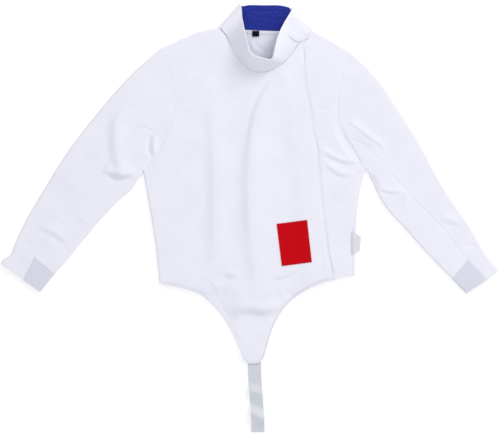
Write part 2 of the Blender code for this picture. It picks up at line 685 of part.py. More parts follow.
def build_trim(back, over, main, collar_back):
    """What is laid on the panels. Shares run along the collar, or from its top edge to the neck seam."""
    lining = build_lining()
    tab_columns = along(collar_line("left fold high", "left joint"), np.linspace(0.06, 0.62, 6))
    tab = collar_grid(tab_columns, top_share=0.12, seam_share=0.92)
    lay_on("collar_tab", [collar_back], tab[..., :2][:, ::-1], CLOTH, "cloth")
    seam = along(collar_line("right fold low", "left fold low")[:, :2], np.linspace(0.13, 0.84, 11))
    below_seam = np.array([0, 5 * SEAM])
    tape_width = np.array([0, NECK_TAPE_WIDTH])
    tape = np.stack([seam - below_seam, seam - below_seam - tape_width])
    tape = lay_on("neck_tape", [back], tape, TRIM, "satin", SEAM)
    label = [SIZE_LABEL[k] for k in ("left", "right", "top", "bottom")]
    corners = [(label[0], label[2]), (label[1], label[2]), (label[1], label[3]), (label[0], label[3])]
    lay_on("size_label", [back, tape, lining], corners_grid(corners, 4, 2), TRIM, "label", SEAM)
    lay_on("neck_loop", [back], corners_grid(NECK_LOOP_CORNERS, 2, 2), CLOTH / 2, "cloth", SEAM)
    lay_on("chest_patch", [over], corners_grid(PATCH_CORNERS, 8, 7), TRIM, "patch")
    edge = main[-1, len(NEAR_EDGE) :]
    run = main[-2, len(NEAR_EDGE) :] - edge
    inside = edge + BINDING_WIDTH * run / np.linalg.norm(run, axis=-1)[:, None]
    rise = np.array([0, 0, 2 * SEAM + TRIM])
    outer = np.stack([inside + rise, edge + rise])
    wall("hem_binding", outer, grid_normals(outer), TRIM, "satin")
    build_care_label()
    build_strap()


def build_care_label():
    """The side seam's label, over the front's edge and down past the back's."""
    plan = corners_grid(CARE_LABEL_CORNERS, 3, 6)
    reach = (plan[..., 0] - plan[..., 0].min()) / (plan[..., 0].max() - plan[..., 0].min())
    height = CARE_LABEL_TOP - (CARE_LABEL_TOP - CARE_LABEL_TIP) * soft_step(reach, 0.1, 1.1)
    outer = np.concatenate([plan, height[..., None]], axis=-1)
    wall("care_label", outer, grid_normals(outer), TRIM, "satin")


def build_strap():
    """The strap: down from the tongue, round its end and back along the surface to the back's hem."""
    shown = along(smooth(STRAP_WAVES), np.linspace(0, 1, 31))
    below = along(smooth(STRAP_RETURN), np.linspace(0, 1, 13))
    path = np.concatenate([shown, below[1:]])
    run = np.gradient(path, axis=0)
    run /= np.linalg.norm(run, axis=1)[:, None]
    # Down the garment on top, the side that faces up is to the left of the run.
    out = np.stack([-run[:, 1], run[:, 0]], axis=1)
    out *= np.sign(out[0, 1])
    outer = path + out * ELASTIC / 2
    across = np.array([-0.5, 0, 0.5]) * STRAP_WIDTH
    middle = strap_x(path[:, 0])
    x = middle[:, None] + across[None]
    grid = np.dstack([x, np.repeat(outer[:, None], 3, axis=1)])
    normals = np.dstack([np.zeros_like(x), np.repeat(out[:, None], 3, axis=1)])
    wall("strap", grid, normals, ELASTIC, "elastic")


def build_all():
    back = build_back()
    over, main = build_front()
    for side in SLEEVES:
        build_sleeve(side)
    collar_back, _ = build_collar()
    bpy.context.view_layer.update()
    build_trim(back, over, main, collar_back)


for old in list(bpy.data.objects):
    bpy.data.objects.remove(old)
LOOKS = {
    "cloth": material("white cloth", (0.82, 0.82, 0.9), 0.85),
    "elastic": material("grey elastic", (0.55, 0.58, 0.68), 0.8),
    "lining": material("blue lining", (0.03, 0.08, 0.5), 0.6),
    "patch": material("red patch", (0.6, 0.003, 0.008), 0.8),
    "label": material("black label", (0.02, 0.02, 0.03), 0.7),
    "satin": material("white satin", (0.85, 0.85, 0.88), 0.4),
}
build_all()
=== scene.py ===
"""The looks of a fencing jacket laid flat on its back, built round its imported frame.
Sizes are in millimetres unless a name says metres. Right and left are the wearer's."""

import math

import bpy
import numpy as np
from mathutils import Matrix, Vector
from mathutils.bvhtree import BVHTree


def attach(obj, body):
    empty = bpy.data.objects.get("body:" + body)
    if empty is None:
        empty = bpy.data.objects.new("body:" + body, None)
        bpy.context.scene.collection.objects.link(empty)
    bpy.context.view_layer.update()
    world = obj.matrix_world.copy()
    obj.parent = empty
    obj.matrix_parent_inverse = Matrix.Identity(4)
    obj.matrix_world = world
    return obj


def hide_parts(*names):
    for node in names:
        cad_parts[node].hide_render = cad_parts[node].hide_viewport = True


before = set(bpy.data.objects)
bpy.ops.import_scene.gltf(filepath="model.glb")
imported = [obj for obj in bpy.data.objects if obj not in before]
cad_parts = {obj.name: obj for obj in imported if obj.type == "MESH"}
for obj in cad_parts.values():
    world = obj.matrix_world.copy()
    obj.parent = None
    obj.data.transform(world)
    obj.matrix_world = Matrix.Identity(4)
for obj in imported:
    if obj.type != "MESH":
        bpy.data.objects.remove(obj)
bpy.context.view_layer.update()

MM = 0.001

# Cloth and trim thicknesses
CLOTH = 2.3
ELASTIC = 1.6
LINING = 1.0
TRIM = 0.8
SEAM = 0.3

# How the layers lie on each other
FLAT_TOP = 7.4
EDGE_MID = 3.7
EDGE_ROUND = 4.8
ON_EDGE = 0.05
FLOOR_CLEARANCE = 0.3
LOWEST_MIDDLE = 1.3
LAYER_ROOM = CLOTH + 0.1
CLOSURE_GROOVE = 0.45
CLOSURE_GROOVE_REACH = 2.0
TRIM_GAP = 0.4
UNDERLAP = 38.0
UNDERLAP_EASE = (4.0, 44.0)
OVERLAP_LIFT = CLOTH + 0.5
OVER_STRAP_EASE = (18.0, 42.0)
STRAP_LAYER_EASE = (8.0, 30.0)
BACK_HEM_EASE = (38.0, 4.0)

# Main lengths
BACK_HEM = -262.0
TONGUE_POINT = -445.0
STRAP_WIDTH = 30.0
STRAP_END = -603.0
STRAP_START = -425.0
STRAP_TOP_X = 1.0
STRAP_END_X = 9.0
BINDING_WIDTH = 5.0
NECK_TAPE_WIDTH = 5.0

# Outlines, each from the collar or the shoulder down
RIGHT_SHOULDER = [(-216, 278), (-170, 299), (-124, 318), (-82, 327)]
LEFT_SHOULDER = [(137, 319), (154, 311), (175, 299), (198, 285), (224, 269)]
RIGHT_SIDE = [(-255, -3), (-245, -60), (-235, -117), (-225, -184), (-221, -225), (-217, -261)]
LEFT_SIDE = [(256, 1), (249, -23), (239, -80), (235, -138), (233, -184), (233, -243)]
LEFT_FRONT_EDGE = [(256, 1), (245, -30), (238, -69), (231, -110), (227, -143), (226, -243)]
RIGHT_ARMHOLE = [
    (-216, 278), (-198, 239), (-187, 189), (-186, 150), (-191, 108), (-207, 69), (-223, 39), (-255, -3),
]
LEFT_ARMHOLE = [(224, 269), (206, 230), (195, 189), (192, 150), (194, 113), (205, 80), (225, 46), (256, 1)]
RIGHT_BACK_ARMHOLE = [(-216, 278), (-200, 230), (-195, 172), (-200, 115), (-216, 62), (-237, 23), (-255, -3)]
LEFT_BACK_ARMHOLE = [(224, 269), (209, 225), (204, 172), (206, 115), (221, 62), (240, 25), (256, 1)]
CLOSURE = [
    (113, 303), (116, 253), (120, 207), (128, 161), (144, 57), (153, -10), (162, -103), (176, -207),
    (183, -253),
]
RIGHT_HEM = [
    (-217, -261), (-154, -275), (-126, -285), (-101, -305), (-78, -329), (-57, -361), (-41, -393),
    (-29, -423),
]
TONGUE_END = [(-29, -423), (-22, -439), (-14, -444), (0, -445), (13, -443), (20, -435), (28, -411)]
LEFT_HEM = [
    (28, -411), (36, -384), (48, -353), (64, -325), (85, -301), (110, -282), (140, -266), (175, -254),
    (183, -253),
]
SIDE_HEM = [(183, -253), (202, -247), (226, -243)]

# The sleeves. The inset starts across the under sleeve at inset_seam and inset_fold.
SLEEVES = {
    "right": dict(
        outer=[
            (-216, 278), (-271, 230), (-354, 138), (-425, 46), (-483, -46), (-536, -140), (-554, -182),
            (-560, -196), (-570, -202), (-579, -208), (-582, -217),
        ],
        inner=[(-255, -3), (-283, -46), (-309, -69), (-354, -116), (-393, -162), (-430, -208), (-458, -239)],
        seam=[
            (-209, 66), (-228, 84), (-245, 94), (-267, 92), (-301, 62), (-327, 23), (-370, -30),
            (-428, -104), (-505, -200),
        ],
        armhole=RIGHT_ARMHOLE,
        back_armhole=RIGHT_BACK_ARMHOLE,
        wrist_outer=(-582, -217),
        wrist_seam=(-532, -253),
        wrist_fold=(-492, -281),
    ),
    "left": dict(
        outer=[
            (224, 269), (267, 230), (334, 138), (389, 46), (439, -46), (501, -138), (527, -184),
            (562, -231),
        ],
        inner=[
            (256, 1), (273, -22), (290, -66), (308, -92), (350, -138), (391, -184), (435, -230),
            (455, -250),
        ],
        seam=[(209, 72), (245, 62), (290, 22), (350, -48), (428, -127), (492, -207)],
        armhole=LEFT_ARMHOLE,
        back_armhole=LEFT_BACK_ARMHOLE,
        wrist_outer=(562, -231),
        wrist_seam=(536, -252),
        wrist_fold=(488, -284),
    ),
}

# The collar round the neck, as sections from the neck seam to the top edge.
# Columns: where, seam x, y, z, top edge x, y, z. The wall lies half on each side of these points.
COLLAR = [
    ("right joint", -60, 306, 8.5, -24, 332, 32),
    ("right turn", -69, 317, 8.0, -27, 350, 18),
    ("right fold high", -76.8, 326.6, 7.4, -30.5, 378, 8.2),
    ("right fold", -79.2, 329, 4.4, -33, 382, 4.6),
    ("right fold low", -77, 327, 1.3, -31, 380, 1.3),
    ("back right", -25, 321.5, 1.3, -9, 380, 1.3),
    ("back middle", 25, 319, 1.3, 25, 379.5, 1.3),
    ("back left", 83, 318, 1.3, 60, 379, 1.3),
    ("left fold low", 132.3, 319, 1.3, 84.5, 373, 1.3),
    ("left fold", 134.5, 321, 4.4, 87.5, 372, 4.6),
    ("left fold high", 132, 318.4, 7.4, 85.5, 367, 8.6),
    ("left turn", 115, 303, 8.2, 69.5, 339, 24),
    ("left joint", 99, 286, 8.6, 56.5, 312, 38),
    ("left front", 80, 260, 8.6, 48, 281, 49),
    ("left corner", 66, 245, 8.5, 43.4, 259, 51.5),
    ("front left", 50, 236, 8.4, 38.5, 253, 52),
    ("front middle", 20, 226, 8.2, 19, 257, 52),
    ("front right", -15, 238, 8.4, -3.5, 264.4, 50.4),
    ("right corner", -22, 247, 8.4, -8.4, 270, 49.4),
    ("right front", -41, 272, 8.5, -15, 290, 44),
    ("right joint", -60, 306, 8.5, -24, 332, 32),
]

# Folds and creases of the top layers. Columns: where, the crest's path, its height or, below 0, its depth, and
# how far it falls off from there to the wearer's right side and to their left.
WRAP_FOLD = [(76, 228), (41, 200), (16, 152), (0, 106), (-7, 30), (-10, -28), (-3, -172), (5, -240), (3, -296)]
RIGHT_ELBOW_FOLD = [(-290, 148), (-313, 118), (-318, 66), (-312, 20), (-300, -22)]
FOLDS = [
    ("wrap fold", WRAP_FOLD, 7.5, 25, 62),
    ("right front fold", [(-104, 158), (-92, 60), (-90, -60), (-92, -246)], 5.6, 22, 46),
    ("right chest arc", [(-152, 176), (-134, 199), (-98, 212)], 1.5, 12, 26),
    ("right shoulder fold", [(-176, 158), (-166, 190), (-143, 222)], 1.5, 18, 16),
    ("left chest fold", [(152, 52), (182, 33), (212, 23), (240, 26)], 3.6, 16, 9),
    ("left side fold", [(156, 24), (182, 3), (212, -8), (232, -5)], 3.4, 16, 9),
    ("tongue fold", [(-66, -324), (-38, -308), (-8, -303), (18, -307), (46, -304), (76, -282)], 6.5, 44, 32),
    ("tongue ridge", [(-58, -334), (-36, -322), (-8, -319), (18, -322), (44, -318), (64, -304)], 5.4, 24, 10),
    ("tongue round", [(-62, -372), (-4, -378), (58, -370)], 1.2, 34, 24),
    ("right elbow fold", RIGHT_ELBOW_FOLD, 6.2, 20, 30),
    ("right underarm fold", [(-347, 0), (-320, -8), (-290, -9), (-274, 2)], 6.0, 24, 10),
    ("right armhole fold", [(-226, 82), (-230, 54), (-226, 30)], 3.6, 8, 8),
    ("right wrist fold", [(-498, -132), (-462, -142), (-430, -164)], 3.0, 10, 20),
    ("left armhole fold", [(214, 118), (255, 84), (306, 46)], 3.6, 20, 14),
    ("left sleeve round", [(236, 246), (268, 206), (318, 136), (366, 62)], 3.2, 64, 34),
    ("left notch fold", [(290, -44), (316, -47), (346, -46)], 3.6, 18, 8),
    ("left forearm fold", [(428, -108), (478, -122)], 2.6, 12, 18),
]
CREASES = [
    ("wrap hollow high", [(70, 240), (34, 208), (4, 157), (-13, 102), (-23, 30)], -2.3, 12, 10),
    ("hem rise right", [(-118, -242), (-96, -262), (-76, -278)], 1.6, 7, 14),
    ("hem rise middle", [(-72, -238), (-52, -242), (-34, -238)], 1.8, 16, 7),
    ("hem rise left", [(40, -240), (64, -246), (90, -231), (106, -226)], 2.2, 16, 7),
    ("label slot", [(224, -134), (223, -165), (222, -198)], -2.6, 2.6, 2.6),
    ("closure top mark", [(111, 284), (114, 264), (116, 244)], -1.6, 3.5, 3.5),
    ("closure pinch", [(141, 80), (145, 54), (148, 26)], -2.0, 3.5, 3.5),
    ("hem crease right", [(-112, -246), (-102, -258), (-92, -272)], -1.8, 8, 9),
    ("hem crease middle", [(-70, -246), (-54, -250), (-38, -249)], -1.4, 7, 8),
    ("hem crease low", [(-80, -289), (-70, -280), (-61, -271)], -1.2, 6, 7),
    ("tongue hollow", [(-50, -345), (-28, -337), (-2, -335), (22, -340), (50, -332)], -3.8, 9, 13),
    ("tongue rise", [(-2, -300), (20, -287), (46, -277)], 2.6, 16, 7),
    ("tongue wave", [(-34, -372), (-9, -380), (14, -382)], -1.1, 7, 7),
    ("left hem crease", [(40, -250), (64, -255), (90, -241), (104, -237)], -1.9, 8, 8),
    ("chest wave high", [(144, 142), (162, 140), (179, 134)], -0.7, 6, 6),
    ("chest wave middle", [(138, 69), (150, 71), (164, 69)], -0.8, 6, 6),
    ("chest wave low", [(145, 54), (160, 54), (180, 57)], -0.7, 5, 6),
    ("chest mark high", [(-190, 130), (-174, 168), (-152, 196), (-118, 208)], -1.7, 9, 10),
    ("chest mark low", [(-179, 118), (-163, 129), (-152, 139)], -1.7, 7, 7),
    ("left underarm hollow", [(191, 115), (198, 84), (216, 52), (240, 18)], -2.2, 14, 12),
    ("left underarm crease", [(200, 97), (209, 73), (225, 50), (240, 23), (247, 4)], -3.0, 5, 5),
    ("left underarm ridge", [(182, 108), (190, 76), (206, 46), (226, 14)], 1.6, 10, 8),
    ("left crescent high", [(154, 39), (182, 23), (213, 12), (240, 16)], -2.0, 7, 7),
    ("left crescent low", [(158, 16), (182, -8), (209, -19), (230, -15)], -1.8, 8, 8),
    ("left sleeve line", [(208, 108), (236, 92), (259, 73), (278, 61), (298, 37)], -1.3, 7, 7),
    ("left notch crease", [(270, -10), (278, -26), (285, -50)], -3.0, 6, 6),
    ("left notch line", [(286, -51), (308, -55), (338, -57)], -1.5, 6, 7),
    ("right armhole arc", [(-304, 58), (-289, 75), (-272, 92), (-253, 98), (-240, 91), (-220, 86)], -1.6, 5, 5),
    ("right armhole pinch", [(-237, 81), (-243, 61), (-241, 40), (-234, 29)], -4.2, 5, 5),
    ("right armhole side", [(-202, 86), (-214, 57), (-224, 36), (-237, 21), (-252, 2)], -2.2, 6, 5),
    ("right elbow pit", [(-342, -10), (-320, -20), (-289, -21), (-277, -16)], -3.2, 9, 9),
    ("right elbow mark", [(-336, 21), (-322, 10), (-306, 3)], -1.3, 8, 8),
    ("right sleeve crease", [(-405, -110), (-390, -116), (-373, -126)], 1.0, 8, 8),
    ("right cuff crease high", [(-494, -140), (-482, -143), (-471, -145)], -0.8, 6, 6),
    ("right cuff crease low", [(-530, -171), (-518, -170), (-506, -172)], -0.9, 6, 6),
    ("right cuff band", [(-470, -149), (-443, -169), (-432, -183)], -1.2, 9, 9),
    ("right cuff edge mark", [(-548, -201), (-539, -200), (-530, -202)], -0.8, 5, 5),
    ("left sleeve crease", [(346, -42), (350, -62), (346, -82)], 1.0, 9, 9),
    ("left cuff crease high", [(443, -126), (456, -125), (470, -127)], -0.8, 6, 6),
    ("left cuff crease low", [(486, -177), (500, -175), (517, -178)], -0.9, 6, 6),
    ("flap fold inner", [(157, -166), (157, -218), (155, -248)], -0.9, 4, 4),
    ("flap fold middle", [(165, -140), (167, -180), (176, -218), (184, -249)], -1.0, 4, 4),
    ("flap fold outer", [(172, -176), (180, -208), (190, -248)], 0.9, 4, 5),
    ("neck hollow right", [(-64, 303), (-46, 274), (-27, 247)], -3.6, 4, 3),
]
HIDDEN_FOLDS = [
    ("neck inside right", [(-14, 306), (-6, 288), (8, 272), (24, 262)], 2.4, 5, 9),
    ("neck inside middle", [(4, 300), (14, 288), (28, 284)], 1.3, 5, 6),
    ("neck inside left", [(56, 272), (42, 267), (32, 256)], 2.0, 6, 5),
    ("back middle", [(10, 230), (-14, 110), (-10, -60), (12, -220)], 1.8, 14, 22),
    ("back right", [(-120, 190), (-104, 60), (-112, -120)], 1.4, 12, 18),
    ("back left", [(110, 200), (122, 90), (112, -40), (124, -190)], 1.5, 16, 12),
    ("back right side", [(-226, -20), (-180, -38), (-140, -34)], 1.2, 9, 12),
    ("back left side", [(232, -14), (190, -30), (158, -60)], 1.3, 10, 9),
    ("right elbow", [(-300, 70), (-340, 20), (-360, -50)], 1.6, 10, 12),
    ("right forearm", [(-440, -60), (-470, -120)], 1.2, 9, 10),
    ("left elbow", [(300, 60), (330, 6), (346, -60)], 1.5, 12, 10),
    ("left forearm", [(420, -90), (456, -140)], 1.2, 9, 9),
]

# Trim on the panels. Corners run: top right of the garment, top left, bottom left, bottom right.
PATCH_CORNERS = [(52, -124), (122, -115), (133, -212), (64, -221)]
NECK_LOOP_CORNERS = [(34, 290), (50, 305), (62, 292), (43, 276)]
SIZE_LABEL = dict(left=-4, right=12, top=320, bottom=307)
CARE_LABEL_CORNERS = [(226, -141), (246, -154), (243, -186), (226, -194)]
CARE_LABEL_TOP = 9.2
CARE_LABEL_TIP = 1.6

# The collar's tab
TAB_TOP = [(86, 353), (105, 341.5), (124, 330.5), (133, 320)]
TAB_END = [(133, 320), (130, 311), (124, 303.5)]
TAB_BOTTOM = [(78, 310.5), (89, 302.5), (100, 296.5), (111, 297.5), (124, 303.5)]
TAB_START = [(86, 353), (83.5, 339), (80, 324), (78, 310.5)]

# The strap's middle, as y and z: the waves that show and the return along the surface.
STRAP_WAVES = [
    (STRAP_START, 2.9), (-455, 2.9), (-495, 3.0), (-503, 6.6), (-511, 11.0), (-518, 9.6), (-530, 4.4),
    (-542, 3.2), (-554, 8.4), (-566, 13.4), (-577, 10.2), (-590, 4.2), (STRAP_END + 2.6, 3.0),
    (STRAP_END + 1.0, 2.3), (STRAP_END + 2.8, 1.0),
]
STRAP_SKEWS = [(-486, 0.0), (-503, 0.4), (-520, 0.1), (-550, 0.5), (-580, 0.5), (-596, 0.0)]
STRAP_RETURN = [(STRAP_END + 2.8, 1.0), (-570, 1.0), (BACK_HEM - 0.7, 1.0)]

# Sewing
STITCH_LENGTH = 2.3
STITCH_WIDTH = 0.5
STITCH_HEIGHT = 0.22
STITCH_PITCH = 3.2
CLOSURE_STITCH = 5.0
ARMHOLE_STITCH = 7.0
SEAM_STITCH = 3.0
CUFF_STITCH = 9.0

# How finely each grid is laid out
STEPS = 14
FOLD_STEPS = 6
CLOSE = (0.0, 0.0015, 0.0035, 0.0065, 0.0105, 0.0155)


def lengths(line):
    return np.concatenate([[0], np.cumsum(np.linalg.norm(np.diff(line, axis=0), axis=1))])


def smooth(points, steps=STEPS):
    """A dense line through a few points, curved between them."""
    p = np.array(points, float)
    if len(p) < 3:
        share = np.linspace(0, 1, steps)[:, None]
        return p[0] * (1 - share) + p[-1] * share
    t = lengths(p)
    slope = np.gradient(p, t, axis=0)
    at = np.concatenate([np.linspace(a, b, steps, endpoint=False) for a, b in zip(t, t[1:])] + [t[-1:]])
    i = np.clip(np.searchsorted(t, at, side="right") - 1, 0, len(t) - 2)
    h = (t[i + 1] - t[i])[:, None]
    u = (at - t[i])[:, None] / h
    start = (1 + 2 * u) * (1 - u) ** 2 * p[i] + u * (1 - u) ** 2 * h * slope[i]
    end = u * u * (3 - 2 * u) * p[i + 1] + u * u * (u - 1) * h * slope[i + 1]
    return start + end


def along(line, shares):
    """The points at these shares of a line's length."""
    t = lengths(line)
    at = np.asarray(shares) * t[-1]
    return np.stack([np.interp(at, t, line[:, k]) for k in range(line.shape[1])], axis=1)


def shares(count, start=True, end=True):
    """Even shares from 0 to 1, with close ones added at the start and the end."""
    low = CLOSE[-1] if start else 0.0
    high = 1 - CLOSE[-1] if end else 1.0
    parts = [np.linspace(low, high, count + 1)]
    if start:
        parts.insert(0, np.array(CLOSE[:-1]))
    if end:
        parts.append(1 - np.array(CLOSE[:-1])[::-1])
    return np.concatenate(parts)


def between(top, bottom, start, end):
    """A grid filled in between four edges. Rows run from top to bottom and columns from start to end."""
    a = (lengths(top) / lengths(top)[-1])[None, :, None]
    d = (lengths(start) / lengths(start)[-1])[:, None, None]
    rows = (1 - d) * top[None] + d * bottom[None]
    columns = (1 - a) * start[:, None] + a * end[:, None]
    corners = (1 - d) * ((1 - a) * top[0] + a * top[-1]) + d * ((1 - a) * bottom[0] + a * bottom[-1])
    return rows + columns - corners


def distance(xy, line, reach):
    """How far points are from a line, up to a reach, on which side of it, positive to the left of its
    direction, and at which share of its length."""
    flat = xy.reshape(-1, 2)
    best = np.full(len(flat), float(reach))
    side = np.ones(len(flat))
    share = np.zeros(len(flat))
    t = lengths(line)
    inside = ((flat > line.min(axis=0) - reach) & (flat < line.max(axis=0) + reach)).all(axis=1)
    inside = np.flatnonzero(inside)
    for i in range(len(line) - 1):
        a, b = line[i], line[i + 1]
        part = flat[inside]
        close = inside[((part > np.minimum(a, b) - reach) & (part < np.maximum(a, b) + reach)).all(axis=1)]
        ab = b - a
        from_a = flat[close] - a
        u = np.clip(from_a @ ab / max(ab @ ab, 1e-12), 0, 1)
        gap = from_a - u[:, None] * ab
        d = np.hypot(gap[:, 0], gap[:, 1])
        nearer = d < best[close]
        at = close[nearer]
        best[at] = d[nearer]
        side[at] = np.sign(ab[0] * gap[nearer, 1] - ab[1] * gap[nearer, 0])
        share[at] = (t[i] + u[nearer] * (t[i + 1] - t[i])) / t[-1]
    shape = xy.shape[:-1]
    return best.reshape(shape), side.reshape(shape), share.reshape(shape)


def soft_step(value, low, high):
    u = np.clip((value - low) / (high - low), 0, 1)
    return u * u * (3 - 2 * u)


def offset(line, out):
    """A line in plan moved to its left by a distance."""
    run = np.gradient(line, axis=0)
    run /= np.linalg.norm(run, axis=1)[:, None]
    return line + out * np.stack([-run[:, 1], run[:, 0]], axis=1)


def collar_line(first, last):
    """The collar's sections between two of its named rows, as a smooth line of six-number points."""
    names = [row[0] for row in COLLAR]
    start, end = names.index(first), len(names) - 1 - names[::-1].index(last)
    whole = smooth([row[1:] for row in COLLAR])
    return whole[start * STEPS : end * STEPS + 1]


NECK_GAP = CLOTH / 2 + 0.1
FRONT_NECK = offset(collar_line("left fold", "right joint")[:, :2], NECK_GAP)[2:]
RIGHT_NECK = offset(collar_line("right joint", "right fold")[:, :2], NECK_GAP)[:-2]


def silhouette():
    """The garment's closed edges, each as a line and 1 where the outside is on its left hand, or -1."""
    lines = []
    for side, shoulder, edge, hand in (("right", RIGHT_SHOULDER, RIGHT_SIDE, -1), ("left", LEFT_SHOULDER, LEFT_SIDE, 1)):
        sleeve = SLEEVES[side]
        lines.append((smooth(shoulder), 1))
        lines.append((smooth(edge), hand))
        lines.append((smooth(sleeve["outer"]), hand))
        lines.append((smooth(sleeve["inner"]), -hand))
        lines.append((smooth([sleeve["inner"][-1], sleeve["wrist_fold"]]), -hand))
    return lines


CLOSED_EDGES = silhouette()
TOP_RELIEF = [(smooth(row[1], FOLD_STEPS), *row[2:]) for row in FOLDS + CREASES]
HIDDEN_RELIEF = [(smooth(row[1], FOLD_STEPS), *row[2:]) for row in HIDDEN_FOLDS]
SEAM_LINES = [
    (smooth(RIGHT_ARMHOLE), 0.3),
    (smooth(LEFT_ARMHOLE), 0.6),
    (smooth(LEFT_FRONT_EDGE), 0.8),
    (smooth(SLEEVES["right"]["seam"] + [SLEEVES["right"]["wrist_seam"]]), 0.35),
    (smooth(SLEEVES["left"]["seam"] + [SLEEVES["left"]["wrist_seam"]]), 0.5),
    (offset(smooth(CLOSURE), -CLOSURE_STITCH), 0.5),
    (offset(smooth(RIGHT_HEM), BINDING_WIDTH + 0.6), 1.0),
    (offset(smooth(LEFT_HEM), BINDING_WIDTH + 0.6), 0.8),
]
HIDDEN_SEAM_LINES = [
    (smooth(RIGHT_BACK_ARMHOLE), 0.5),
    (smooth(LEFT_BACK_ARMHOLE), 0.5),
    (offset(smooth(RIGHT_BACK_ARMHOLE), -SEAM_STITCH), 0.3),
    (offset(smooth(LEFT_BACK_ARMHOLE), SEAM_STITCH), 0.3),
]
SEAM_REACH = 1.7
SHOWN_GAP = 0.03


def from_edge(xy):
    return np.min([distance(xy, line, EDGE_ROUND + 1)[0] for line, _ in CLOSED_EDGES], axis=0)


def rounding(distance_in):
    """0 at a closed edge, 1 from EDGE_ROUND inside it, along a quarter ellipse."""
    u = np.clip(distance_in / EDGE_ROUND, 0, 1)
    return np.sqrt(np.maximum(1 - (1 - u) ** 2, 0))


def relief(xy, rows):
    total = np.zeros(xy.shape[:-1])
    for line, height, right, left in rows:
        d, side, share = distance(xy, line, 1.8 * max(right, left))
        # A crest that runs down the garment has the right side of the garment on its left hand.
        down = line[-1, 1] < line[0, 1]
        width = np.where((side < 0) == down, right, left)
        taper = np.sin(np.pi * np.clip(share, 0, 1)).clip(0) ** 0.7
        total += height * taper * np.exp(-((d / width * 1.5) ** 2))
    return total


def seam_dip(xy, lines):
    total = np.zeros(xy.shape[:-1])
    for line, depth in lines:
        d = distance(xy, line, 2.5 * SEAM_REACH)[0]
        total = np.maximum(total, depth * np.exp(-((d / SEAM_REACH) ** 2)))
    return total


def ripple(xy):
    """The slight unevenness that cloth keeps when it lies flat. Columns: wave length, direction, height."""
    x, y = xy[..., 0], xy[..., 1]
    total = np.zeros(xy.shape[:-1])
    for k, (length, degrees, height) in enumerate(RIPPLES):
        turn = math.radians(degrees)
        phase = (x * math.cos(turn) + y * math.sin(turn)) / length
        bend = np.sin(2 * np.pi * (y * math.cos(turn) - x * math.sin(turn)) / (2.7 * length) + k)
        total += height * np.sin(2 * np.pi * phase + 1.4 * bend + 2 * k)
    return total


RIPPLES = [(61, 12, 0.10), (43, 77, 0.07), (34, 128, 0.05), (88, 40, 0.12), (27, 20, 0.03)]


def strap_x(y):
    """The strap's centre line, which drifts to the left side."""
    return STRAP_TOP_X + (STRAP_END_X - STRAP_TOP_X) * soft_step(-y, -TONGUE_POINT, -STRAP_END)


def on_back_share(y):
    """1 over the back panel and 0 below its hem, where the front lies on the surface."""
    return soft_step(y - BACK_HEM, -BACK_HEM_EASE[0], -BACK_HEM_EASE[1])


def strap_layers(xy):
    """The height of the strap's layers under the tongue."""
    x, y = xy[..., 0], xy[..., 1]
    beside = np.abs(x - strap_x(y)) - STRAP_WIDTH / 2
    over_strap = 1 - soft_step(beside, *OVER_STRAP_EASE)
    above = y - STRAP_START
    return (ELASTIC + SEAM) * (2 - soft_step(above, *STRAP_LAYER_EASE)) * over_strap


def lying_height(xy):
    """The top of the front: on the back, and below the back's hem on the surface and the strap."""
    tongue = FLOOR_CLEARANCE + CLOTH + strap_layers(xy)
    return tongue + (FLAT_TOP - tongue) * on_back_share(xy[..., 1])


CLOSURE_LINE = smooth(CLOSURE)


def closure_lift(xy):
    """How far the overlapping front is raised by the underlap beneath it."""
    d, side, _ = distance(xy, CLOSURE_LINE, UNDERLAP + UNDERLAP_EASE[1])
    inside = np.where(side < 0, d, -d)
    inside = np.where(d >= UNDERLAP + UNDERLAP_EASE[1], d, inside)
    return OVERLAP_LIFT * (1 - soft_step(inside - UNDERLAP, *UNDERLAP_EASE))


def top_height(xy, raised=False):
    """The outer surface of the layers that face up."""
    lying = lying_height(xy)
    on_back = on_back_share(xy[..., 1])
    room = lying - LAYER_ROOM * (1 + on_back) - strap_layers(xy) * (1 - on_back)
    folds = relief(xy, TOP_RELIEF) + ripple(xy) - seam_dip(xy, SEAM_LINES)
    folds = np.where(folds < 0, -room * np.tanh(-folds / np.maximum(room, 0.01)), folds)
    height = lying + folds
    if raised:
        height = height + closure_lift(xy)
    else:
        beside = distance(xy, CLOSURE_LINE, 3 * CLOSURE_GROOVE_REACH)[0]
        height = height - CLOSURE_GROOVE * np.exp(-((beside / CLOSURE_GROOVE_REACH) ** 2))
    low = EDGE_MID + SEAM / 2
    return low + (height - low) * rounding(from_edge(xy))


def raised_height(xy):
    return top_height(xy, raised=True)


def under_height(xy):
    """The outer surface of the layers that lie on the surface."""
    lifted = relief(xy, HIDDEN_RELIEF) + seam_dip(xy, HIDDEN_SEAM_LINES)
    round_it = rounding(from_edge(xy))
    return (EDGE_MID - SEAM / 2) * (1 - round_it) + lifted * round_it


def with_height(plan, height):
    return np.concatenate([plan, height(plan)[..., None]], axis=-1)


def grid_normals(grid):
    """Unit normals of a grid, on the side where its rows run down and its columns to the right."""
    n = np.cross(np.gradient(grid, axis=0), np.gradient(grid, axis=1))
    return n / np.maximum(np.linalg.norm(n, axis=-1), 1e-9)[..., None]


